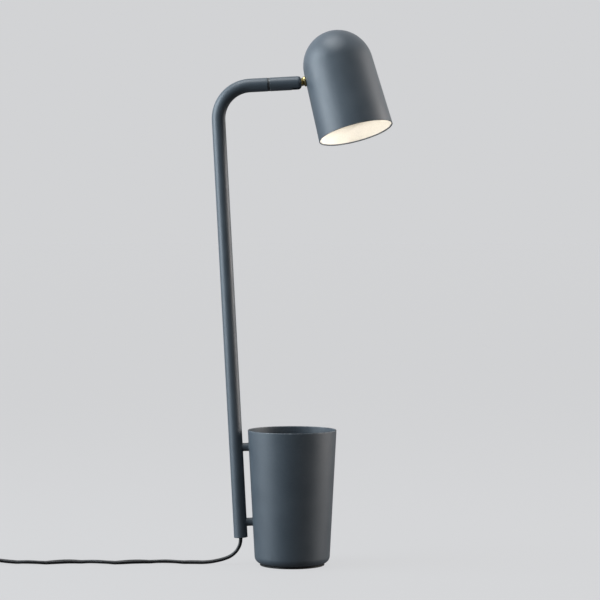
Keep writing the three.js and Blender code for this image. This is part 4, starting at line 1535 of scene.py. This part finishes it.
@dataclass
class SwivelSleeve(Assembly):
    """The sleeve that turns on the arm's end, with the tilt pin across its slot."""

    radius: float = 6.0
    start: float = -25.0
    tip: float = 3.1
    corner: float = 3.7
    bore: float = 5.0
    bore_end: float = -9.1
    wire_hole: float = 2.2
    slot_width: float = 6.2
    slot_back: float = -6.2
    slot_top: float = 5.0
    pin: float = 1.5
    pin_half: float = 5.5
    stop_at: float = -17.7

    def sleeve(self) -> bpy.types.Object:
        """The bored sleeve, with its slot and the holes of the pin and the stop screw."""
        profile = outline([
            (self.bore, self.start, 0.2), (self.radius, self.start, 0.25),
            (self.radius, self.tip, self.corner),
            (self.wire_hole, self.tip, 0.2), (self.wire_hole, self.bore_end), (self.bore, self.bore_end),
        ], closed=True)

        def rubbed(radius: float, along: float) -> float:
            """How rubbed the coat is: at the rounded tip and at the seam."""
            return 0.7 * eased((along - self.tip + 2.2) / 2) + 0.5 * eased((self.start + 0.6 - along) / 0.5)

        loop = [*profile, profile[0]]
        body = moved(turned("swivel_sleeve_slotted", loop, 96, worn=rubbed), along_x())
        half = self.slot_width / 2
        slot = box("slot", (self.slot_back, -half, -self.radius - 2), (self.tip + 3, half, self.slot_top))
        pin_hole = moved(slab("pin_hole", ring(self.pin + 0.15, 24), -5.55, 5.55), along_y())
        stop_hole = moved(slab("stop_hole", ring(self.pin + 0.15, 24), 2, 9), along_y((self.stop_at, 0, 0)))
        carve(body, slot, pin_hole, stop_hole)
        return creased(body, 40)

    def tilt_pin(self) -> bpy.types.Object:
        """The tilt pin, with a slotted end in front and a peened one behind."""
        end, radius = self.pin_half, self.pin
        profile = outline([(0, -end), (radius, -end, 0.25), (radius, end, 0.5), (0, end)])
        pin = turned("tilt_pin_turned", profile, 40)
        groove = box("groove", (-3, -0.22, -end - 1), (3, 0.22, -end + 0.5))
        return moved(creased(carve(pin, groove), 40), along_y())

    def stop_screw(self) -> bpy.types.Object:
        """The grub screw that stops the swivel, with a six-sided socket."""
        profile = outline([(0, 3.6), (self.pin, 3.6, 0.2), (self.pin, 5.7, 0.2), (0, 5.7)])
        grub = turned("stop_screw_turned", profile, 32)
        carve(grub, slab("socket", ring(0.8, 6), 4.6, 7))
        return moved(creased(grub, 40), along_y((self.stop_at, 0, 0)))

    def build(self) -> None:
        """Builds the sleeve and its hardware."""
        place = FRAMES.sleeve
        self.add(self.sleeve(), place, Body.SLEEVE, Slot.PAINT, "swivel_sleeve")
        self.add(self.tilt_pin(), place, Body.SLEEVE, Slot.STEEL, "tilt_pin")
        self.add(self.stop_screw(), place, Body.SLEEVE, Slot.STEEL, "swivel_stop_screw")
        for name, low in (("front", -2.8), ("back", 2.35)):
            washer = lathe_ring(f"tilt_washer_{name}_turned", self.pin + 0.15, 3.0, low, low + 0.45, 0.08, 40)
            self.add(moved(washer, along_y()), place, Body.SLEEVE, Slot.STEEL, f"tilt_washer_{name}")


@dataclass
class BrassKnuckle(Assembly):
    """The brass knuckle that the shade tilts on, with its nut and lock washer."""

    half: float = 3.0
    thickness: float = 4.2
    hole: float = 1.65
    wire: float = 1.3
    collar: float = 4.5
    collar_from: float = 4.9
    collar_to: float = 6.38
    stud: float = 3.0
    stud_end: float = 15.5

    def knuckle(self) -> bpy.types.Object:
        """The tongue with its round eye, the collar and the hollow threaded stud."""
        reach = self.collar_from + 0.3
        corners = [(reach, -self.half), (reach, self.half), (0, self.half)]
        steps = 24
        for i in range(1, steps):
            angle = math.pi / 2 + math.pi * i / steps
            corners.append((self.half * math.cos(angle), self.half * math.sin(angle)))
        corners.append((0, -self.half))
        tongue = slab("tongue", corners[::-1], -self.thickness / 2, self.thickness / 2)
        moved(tongue, Matrix.Rotation(math.pi / 2, 4, "X"))
        wire = moved(slab("wire", ring(self.wire, 20), -3.4, 20), along_x((6.8, 0, 0)))
        top = slab("top", ring(self.wire, 20), 0, 9)
        moved(top, Matrix.Translation((3.4, 0, 0)))
        eye = moved(slab("eye", ring(self.hole, 28), -5, 5), along_y())
        bevelled(carve(tongue, eye, wire, top), 0.22, 2)
        profile: list[Point] = [(self.wire, self.collar_from)]
        profile += outline([(self.wire + 1, self.collar_from), (self.collar, self.collar_from, 0.3),
                            (self.collar, self.collar_to, 0.25), (self.stud, self.collar_to)])
        pitch = 0.5
        turns = int((self.stud_end - self.collar_to - 0.6) / pitch)
        for i in range(turns):
            low = self.collar_to + 0.1 + i * pitch
            profile += [(self.stud - 0.22, low + pitch * 0.5), (self.stud, low + pitch)]
        end = self.stud_end
        profile += [(self.stud - 0.3, end), (self.wire, end), (self.wire, self.collar_from)]
        turned_part = turned("collar", profile, 56)
        moved(turned_part, along_x())
        return creased(joined("knuckle_turned", tongue, turned_part), 40)

    def build(self) -> None:
        """Builds the knuckle and its hardware."""
        place = FRAMES.head
        knuckle = self.knuckle()
        self.add(knuckle, place, Body.HEAD, Slot.BRASS, "knuckle")
        for node, make in (("knuckle_lock_washer", self.lock_washer), ("knuckle_nut", self.nut)):
            along = [(place.inverted() @ v.co).x for v in frame["nodes"][node].data.vertices]
            self.add(make(min(along), max(along)), place, Body.HEAD, Slot.STEEL, node)

    def lock_washer(self, low: float, high: float) -> bpy.types.Object:
        """The split lock washer."""
        washer = lathe_ring("lock_washer_turned", self.stud + 0.1, 5.0, low, high)
        gap = box("gap", (1, -0.38, low - 1), (8, 0.38, high + 1))
        return moved(creased(carve(washer, gap), 40), along_x())

    def nut(self, low: float, high: float) -> bpy.types.Object:
        """The hexagon nut, with its corners turned off."""
        across = 5.6
        nut = slab("knuckle_nut_hexagon", ring(across, 6), low, high)
        moved(nut, Matrix.Rotation(math.pi / 6, 4, "Z"))
        dome = outline([(0, low - 1), (across * 0.93, low - 0.01), (across + 0.3, low + 0.7),
                        (across + 0.3, high - 0.7), (across * 0.93, high + 0.01), (0, high + 1)])
        cone = turned("cone", dome, 48)
        carve(nut, cone, way="INTERSECT")
        hole = slab("hole", ring(self.stud + 0.05, 32), low - 1, high + 1)
        carve(nut, hole)
        return moved(creased(nut, 30), along_x())


@dataclass
class DomedShade(Assembly):
    """The domed shade, with the strap, the lamp holder, its screws and the wires inside."""

    dome: float = 30.9
    rise: float = 32.0
    mouth: float = 33.1
    length: float = 62.3
    wall: float = 1.0
    hinge: float = 6.0
    steps: int = 22
    strap_half: float = 5.0
    strap: tuple = (
        (-29.1, 12, 0.3), (-29.1, -3, 3), (-13, -21.5, 3), (10, -21.5, 0.3), (10, -20, 0.3),
        (-12.25, -20, 2), (-27.6, -2.25, 2), (-27.6, 12, 0.3),
    )  # the corners of its side view, with their radii
    holder: float = 14.0
    holder_top: float = -19.7
    holder_bottom: float = -2.0
    screw_x: float = 7.0
    pin_y: float = 5.0

    def wall_points(self, inset: float) -> list[Point]:
        """The line from the dome's top to near the mouth."""
        slope = (self.mouth - self.dome) / self.length
        last = math.pi / 2 - math.atan(slope)
        radius = self.dome - inset
        rise = self.rise - inset
        points = []
        for i in range(self.steps + 1):
            angle = last * i / self.steps
            points.append((radius * math.sin(angle), -rise * math.cos(angle)))
        for z in (15, 30, 45, self.length - 1.2):
            points.append((self.dome - inset + slope * z, z))
        return points

    def shell(self) -> bpy.types.Object:
        """The shade's shell, with a rolled lip at its mouth and enamel inside."""
        outside = self.wall_points(0)
        end, bore, edge = self.length, self.mouth - self.wall, 0.42
        lip = outline([(self.mouth - 0.05, end - 1.0), (self.mouth, end, edge), (bore, end, edge),
                       (bore, end - 1.0)])
        inside = self.wall_points(self.wall)[::-1]

        def rubbed(radius: float, along: float) -> float:
            """How rubbed the coat is: along the lip."""
            return 0.6 * eased((along - self.length + 0.9) / 0.7)

        return turned("shade_shell_coated", [*outside, *lip, *inside], 160,
                      ENAMEL, len(outside) + len(lip) - 1, rubbed)

    def bracket(self) -> bpy.types.Object:
        """The bent strap from the stud to the back of the holder."""
        side = outline(self.strap, closed=True)
        strap = slab("holder_bracket_bent", side, -self.strap_half, self.strap_half)
        moved(strap, Matrix.Rotation(math.pi / 2, 4, "X"))
        stud = moved(slab("stud", ring(3.2, 28), -34, -25), along_x((0, 0, self.hinge)))
        holes = [moved(slab("hole", ring(1.7, 20), -24, -18), Matrix.Translation((x, 0, 0)))
                 for x in (-self.screw_x, self.screw_x)]
        return bevelled(carve(strap, stud, *holes), 0.3, 2)

    def lamp_holder(self) -> bpy.types.Object:
        """The ceramic holder, with a keyhole socket for each bulb pin."""
        top, bottom, radius = self.holder_top, self.holder_bottom, self.holder
        profile = outline([(0, top), (radius - 1.6, top, 0.4), (radius, top + 2, 0.6), (radius, -7.4, 0.3),
                           (radius - 0.7, -6.7), (radius - 0.7, -6.2), (radius, -5.5, 0.3),
                           (radius, bottom, 0.7), (0, bottom)])
        body = turned("lamp_holder_glazed", profile, 72)
        tools = []
        for sign in (-1, 1):
            socket = slab("socket", ring(2.9, 24), bottom - 7.4, bottom + 1)
            tools.append(moved(socket, Matrix.Translation((0, sign * self.pin_y, 0))))
            thread = slab("thread", ring(1.6, 16), top - 1, top + 5.4)
            tools.append(moved(thread, Matrix.Translation((sign * self.screw_x, 0, 0))))
        return creased(carve(body, *tools), 40)

    def wires(self) -> None:
        """Builds both wires from the stud to the holder."""
        shift = FRAMES.shade.inverted()
        for name, sign in (("head_wire_live", 1), ("head_wire_neutral", -1)):
            start = min((shift @ v.co).x for v in frame["nodes"][name].data.vertices) - 3.5
            y = 3.0 * sign
            route = [Vector(p) for p in ((start, y / 3.4, 6), (start + 5, y / 2.3, 5.8), (-19.3, y, -1),
                                         (-17.8, y, -8), (-15.6, y, -10.5), (-13.4, y, -10.6))]
            path = smooth_path(route, 0.8)
            stations = []
            for i, place in enumerate(path):
                run = heading(path, i)
                side = (Y_AXIS - run * run.y).normalized()
                stations.append(Station(place, side, run.cross(side)))
            wire = capped(name + "_sleeved", stations, ring(0.9, 16))
            self.add(wire, FRAMES.shade, Body.HEAD, Slot.CORD, name)

    def build(self) -> None:
        """Builds the shade and what is in its dome."""
        place = FRAMES.shade
        self.add(self.shell(), place, Body.HEAD, Slot.SHADE, "shade_shell")
        self.add(self.bracket(), place, Body.HEAD, Slot.STEEL, "holder_bracket")
        self.add(self.lamp_holder(), place, Body.HEAD, Slot.CERAMIC, "lamp_holder")
        points = [Vector((x, 0, -21.6)) for x in (-self.screw_x, self.screw_x)]
        screws = pan_heads("holder_screws", points, -Z_AXIS, 2.8, 1.8, 1.5, 6.5)
        self.add(screws, place, Body.HEAD, Slot.STEEL, "holder_screw_near", "holder_screw_far")
        self.wires()


@dataclass
class ReflectorBulb(Assembly):
    """The 50 mm reflector bulb, lit."""

    face: float = 47.0
    rim: float = 25.0
    neck: float = 14.0
    base: float = -1.7
    fins: int = 28
    fin: tuple = (0.9, 0.6, 13.0)
    bezel: float = 2.2
    pin_y: float = 5.0

    def body(self) -> bpy.types.Object:
        """The bulb's body: neck, cooling fins and bezel."""
        shoulder = self.face - 2.3
        profile = outline([(0, self.base), (self.neck, self.base, 1), (self.neck, self.base + 6, 4),
                           (self.rim - 1.0, shoulder - 8, 6), (self.rim - 1.0, shoulder - 5.2, 0.3),
                           (self.rim, shoulder - 4.6, 0.4), (self.rim, shoulder, 0.5), (0, shoulder)])
        core = turned("bulb_body_finned", profile, 112)
        wide, thick, long = self.fin
        shape = bevelled(box("fin", (-wide, -thick, -long), (wide, thick, long)), 0.25, 2)
        start, end = Vector((self.neck + 1.2, 0, 8.5)), Vector((self.rim - 1.6, 0, shoulder - 9.5))
        middle, run = (start + end) / 2, (end - start).normalized()
        spins = [Matrix.Rotation(2 * math.pi * i / self.fins, 3, "Z") for i in range(self.fins)]
        ribs = copies("fins", shape, [spin @ middle for spin in spins],
                      [spin @ run for spin in spins])
        return joined("bulb_body_finned", core, ribs)

    def lens(self) -> bpy.types.Object:
        """The frosted lens, slightly domed, with a stepped edge."""
        face, rim = self.face, self.rim
        profile = [(0, face - 2.2)]
        profile += outline([(rim - 1.2, face - 2.2), (rim - 1.2, face - 1.2, 0.2),
                            (rim - self.bezel, face - 1.1, 0.2), (rim - self.bezel - 0.5, face - 0.6, 0.3)])
        edge = rim - self.bezel - 0.7
        for i in range(8):
            share = 1 - (i + 1) / 8
            profile.append((edge * share, face - 0.55 + 0.5 * (1 - share * share)))
        return turned("bulb_lens_frosted", profile, 96)

    def build(self) -> None:
        """Builds the bulb."""
        place = FRAMES.shade
        self.add(self.body(), place, Body.HEAD, Slot.BULB, "bulb_body")
        self.add(self.lens(), place, Body.HEAD, Slot.LENS, "bulb_lens")
        profile = outline([(0, -8.3), (2.5, -8.3, 0.3), (2.5, -6.1, 0.2), (1.5, -6.1), (1.5, -1.8),
                           (0, -1.8)])
        for name, sign in (("front", 1), ("back", -1)):
            pin = turned(f"bulb_pin_{name}_turned", profile, 32)
            moved(pin, Matrix.Translation((0, sign * self.pin_y, 0)))
            self.add(pin, place, Body.HEAD, Slot.STEEL, f"bulb_pin_{name}")


@dataclass
class CordSwitch(Assembly):
    """The rocker switch in the cord: two shells, the rocker and the screws under it."""

    half: float = 30.0
    narrow: float = 6.0
    wide: float = 11.0
    height: float = 13.0
    split: float = 6.0
    wall: float = 1.6
    cord_z: float = 4.4
    post: tuple = (15.0, 6.0)
    pivot: float = 10.4
    rocker_half: float = 8.6
    rocker_width: float = 4.2
    swing: float = math.radians(7)

    def plan(self, inset: float) -> list[Point]:
        """The switch's outline from above, wide in the middle and narrow where the cord goes in."""
        end, narrow, wide = self.half - inset, self.narrow - inset, self.wide - inset
        quarter = [(end, narrow, 2), (19, wide, 8), (-19, wide, 8), (-end, narrow, 2)]
        return outline([*quarter, *[(-x, -y, r) for x, y, r in quarter]][::-1], closed=True)

    def entry(self) -> bpy.types.Object:
        """The tool that cuts the cord's way through both ends."""
        way = slab("entry", oval(5.7, 3.7, 24), -self.half - 2, self.half + 2)
        return moved(moved(way, Matrix.Rotation(math.pi / 2, 4, "Z")), along_x((0, 0, self.cord_z)))

    def lower_shell(self) -> bpy.types.Object:
        """The lower shell, with its posts and the screws' pockets."""
        body = slab("switch_lower_shell_moulded", self.plan(0), 0.1, self.split - 0.08)
        tools = [slab("hollow", self.plan(self.wall), self.wall + 0.1, self.split + 1), self.entry()]
        bevelled(carve(body, *tools), 0.45, 3, 50)
        side = outline([(1.5, 1), (3.6, 1), (3.6, 5.8, 0.2), (1.5, 5.8, 0.2), (1.5, 1)])
        for sign in (-1, 1):
            place = Matrix.Translation((sign * self.post[0], sign * self.post[1], 0))
            post = moved(turned("post", side, 32), place)
            carve(body, moved(slab("pocket", ring(2.9, 28), -1, 2.3), place))
            body = joined(body.name, body, post)
        body.name = "switch_lower_shell_moulded"
        return creased(body, 40)

    def upper_shell(self) -> bpy.types.Object:
        """The upper shell, crowned round a raised frame for the rocker."""
        body = slab("switch_upper_shell_moulded", self.plan(0), self.split + 0.08, self.height - 0.5)
        bevelled(body, 1.5, 5, 50)
        x, y = self.rocker_half + 2.2, self.rocker_width + 1.8
        rim = rounded((-x, -y), (x, y), 2.0)
        collar = bevelled(slab("collar", rim, self.height - 3, self.height), 0.4, 3, 50)
        carve(body, collar, way="UNION")
        x, y = self.rocker_half + 0.7, self.rocker_width + 0.35
        window = rounded((-x, -y), (x, y), 0.8)
        hollow = slab("hollow", self.plan(self.wall), self.split - 1, self.height - 2.3)
        carve(body, hollow, slab("window", window, self.split + 1, self.height + 2), self.entry())
        return creased(body, 40)

    def rocker(self) -> bpy.types.Object:
        """The rocker, hollowed along its top, with grip ribs towards each end."""
        half, width = self.rocker_half, self.rocker_width
        side = outline([(-half, -1, 0.8), (-4, -2.6, 1), (4, -2.6, 1), (half, -1, 0.8), (half, 3.5, 0.8),
                        (0, 2.4, 9), (-half, 3.5, 0.8)][::-1], closed=True)
        body = slab("switch_rocker_ribbed", side, -width, width)
        moved(body, Matrix.Rotation(math.pi / 2, 4, "X"))
        bevelled(body, 0.4, 3, 45)
        shape = bevelled(box("rib", (-0.22, -width + 1.1, -0.2), (0.22, width - 1.1, 0.24)), 0.12, 2)
        slope = math.atan2(1.1, half)
        points, aims = [], []
        for sign in (-1, 1):
            for i in range(5):
                x = sign * (3.2 + 0.9 * i)
                points.append(Vector((x, 0, 2.4 + 1.1 * abs(x) / half)))
                aims.append(Vector((-sign * math.sin(slope), 0, math.cos(slope))))
        ribs = copies("ribs", shape, points, aims)
        both = joined("switch_rocker_ribbed", body, ribs)
        return moved(both, Matrix.Translation((0, 0, self.pivot)) @ Matrix.Rotation(self.swing, 4, "Y"))

    def build(self) -> None:
        """Builds the switch."""
        place = FRAMES.switch
        self.add(self.lower_shell(), place, Body.BASE, Slot.PLASTIC, "switch_lower_shell")
        self.add(self.upper_shell(), place, Body.BASE, Slot.PLASTIC, "switch_upper_shell")
        points = [Vector((sign * self.post[0], sign * self.post[1], 2.1)) for sign in (-1, 1)]
        screws = pan_heads("switch_screws", points, -Z_AXIS, 2.5, 1.7, 1.3, 8.0)
        self.add(screws, place, Body.BASE, Slot.STEEL, "switch_screw_front", "switch_screw_back")
        self.add(self.rocker(), place, Body.ROCKER, Slot.PLASTIC, "switch_rocker")


@dataclass
class FlatPlug(Assembly):
    """The flat two-pin plug, with its ribbed relief and its sleeved pins."""

    half: float = 17.6
    thick: float = 13.7
    long: float = 36.0
    relief: float = 20.0
    pin: float = 2.0
    pin_long: float = 19.0
    sleeve_long: float = 10.0
    spacing: float = 18.6

    def body(self) -> bpy.types.Object:
        """The moulded body, with grip ridges on both faces."""
        side = outline([(0, -self.half, 2.5), (0, self.half, 2.5), (-14, self.half, 9), (-self.long, 6, 2),
                        (-self.long, -6, 2), (-14, -self.half, 9)], closed=True)
        body = bevelled(slab("plug_body_moulded", side, -self.thick / 2, self.thick / 2), 2.6, 6, 50)
        shape = bevelled(box("ridge", (-0.5, -1, -0.4), (0.5, 1, 0.4)), 0.3, 3)
        points, aims, sizes = [], [], []
        for sign in (-1, 1):
            for i in range(6):
                points.append(Vector((-13 - 2.4 * i, 0, sign * (self.thick / 2 - 0.25))))
                aims.append(Vector((0, 0, sign)))
                sizes.append(Vector((1, 9.5 - 1.1 * i, 1)))
        ridges = copies("ridges", shape, points, aims, sizes)
        both = joined("plug_body_moulded", body, ridges)
        return both

    def relief_piece(self) -> bpy.types.Object:
        """The tapered relief: a core in broken rings that lets the cord bend."""
        start, end = -self.long - self.relief, -self.long + 0.5
        side = outline([(0, start), (2.7, start, 0.3), (3.6, end), (0, end)])
        core = turned("relief", side, 40)
        shape = lathe_ring("rib", 0.5, 1.0, -1, 1, 0.12, 40)
        count = 7
        points, sizes = [], []
        for i in range(count):
            share = (i + 0.4) / count
            points.append(Vector((0, 0, start + self.relief * share)))
            radius = 3.2 + 1.6 * share
            sizes.append(Vector((radius, radius, 0.85)))
        ribs = copies("ribs", shape, points, [Z_AXIS] * count, sizes)
        both = joined("plug_relief_ribbed", core, ribs)
        return moved(both, along_x())

    def build(self) -> None:
        """Builds the plug."""
        place = FRAMES.plug
        self.add(self.body(), place, Body.BASE, Slot.PLASTIC, "plug_body")
        self.add(self.relief_piece(), place, Body.BASE, Slot.PLASTIC, "plug_relief")
        core, bared = 1.5, self.sleeve_long + 0.1
        tip = outline([(0, -0.5), (core, -0.5), (core, bared), (self.pin, bared, 0.1),
                       (self.pin, self.pin_long, 1.3), (0, self.pin_long)])
        for name, sign in (("front", -1), ("back", 1)):
            at = along_x((0, sign * self.spacing / 2, 0))
            pin = moved(turned(f"plug_pin_{name}_plated", tip, 40), at)
            self.add(pin, place, Body.BASE, Slot.PINS, f"plug_pin_{name}")
            name = f"plug_pin_sleeve_{name}"
            sleeve = lathe_ring(f"{name}_moulded", core, self.pin - 0.02, -0.5, self.sleeve_long, 0.1, 40)
            self.add(moved(sleeve, at), place, Body.BASE, Slot.PLASTIC, name)


@dataclass
class CoilTie(Assembly):
    """The flat tie round the coil's section."""

    thickness: float = 0.5
    width: float = 7.0
    side_clear: float = 0.6
    clear: float = 0.25
    corner: float = 1.4
    angle: float = math.radians(200)
    inner: float = 19.4
    outer: float = 34.6

    def build(self) -> None:
        """Builds the tie: a band with rounded corners and a lapped end."""
        low, high = node_box("cord_coil")
        middle = (low + high) / 2
        inner, outer = self.inner - self.side_clear, self.outer + self.side_clear
        bottom, top = low.z - self.clear, high.z + self.clear

        def band(grow: float) -> list[Point]:
            """The band's outline, grown outwards."""
            left, right, low, high = inner - grow, outer + grow, bottom - grow, top + grow
            corners = ((left, low), (right, low), (right, high), (left, high))
            return outline([(*corner, self.corner + grow) for corner in corners], closed=True)

        loop = slab("coil_tie_lapped", band(self.thickness), -self.width / 2, self.width / 2)
        carve(loop, slab("hole", band(0), -self.width, self.width))
        start, end, under = inner + 4, outer - 2.5, top + self.thickness - 0.1
        over = under + self.thickness
        side = outline([(start, under), (end, under), (end, over, 0.2), (start, over, 0.2)], closed=True)
        lap = slab("lap", side, -self.width / 2 + 0.2, self.width / 2 - 0.2)
        both = joined("coil_tie_lapped", bevelled(loop, 0.12, 2), bevelled(lap, 0.12, 2))
        moved(both, Matrix.Rotation(math.pi / 2, 4, "X"))
        turn = Matrix.Translation((middle.x, middle.y, 0)) @ Matrix.Rotation(self.angle, 4, "Z")
        moved(both, turn)
        self.add(both, LAMP, Body.BASE, Slot.FELT, "coil_tie")


def main() -> None:
    """Builds the lamp's assemblies in order and reports each piece."""
    logging.basicConfig(level=logging.INFO, format="%(message)s", stream=sys.stdout)
    studio = Studio()
    studio.camera()
    cord, tie, plug, switch = FlatCord(), CoilTie(), FlatPlug(), CordSwitch()
    for assembly in (cord, tie, plug, switch):
        assembly.build()
        assembly.dress()
    cord.declare(tie, plug, switch)
    studio.build()
    for assembly in (PenCup(), StemTube(), SwivelSleeve(), BrassKnuckle(), DomedShade(), ReflectorBulb(),
                     KeptNodes()):
        assembly.build()
        assembly.dress()


if __name__ == "__main__":
    main()
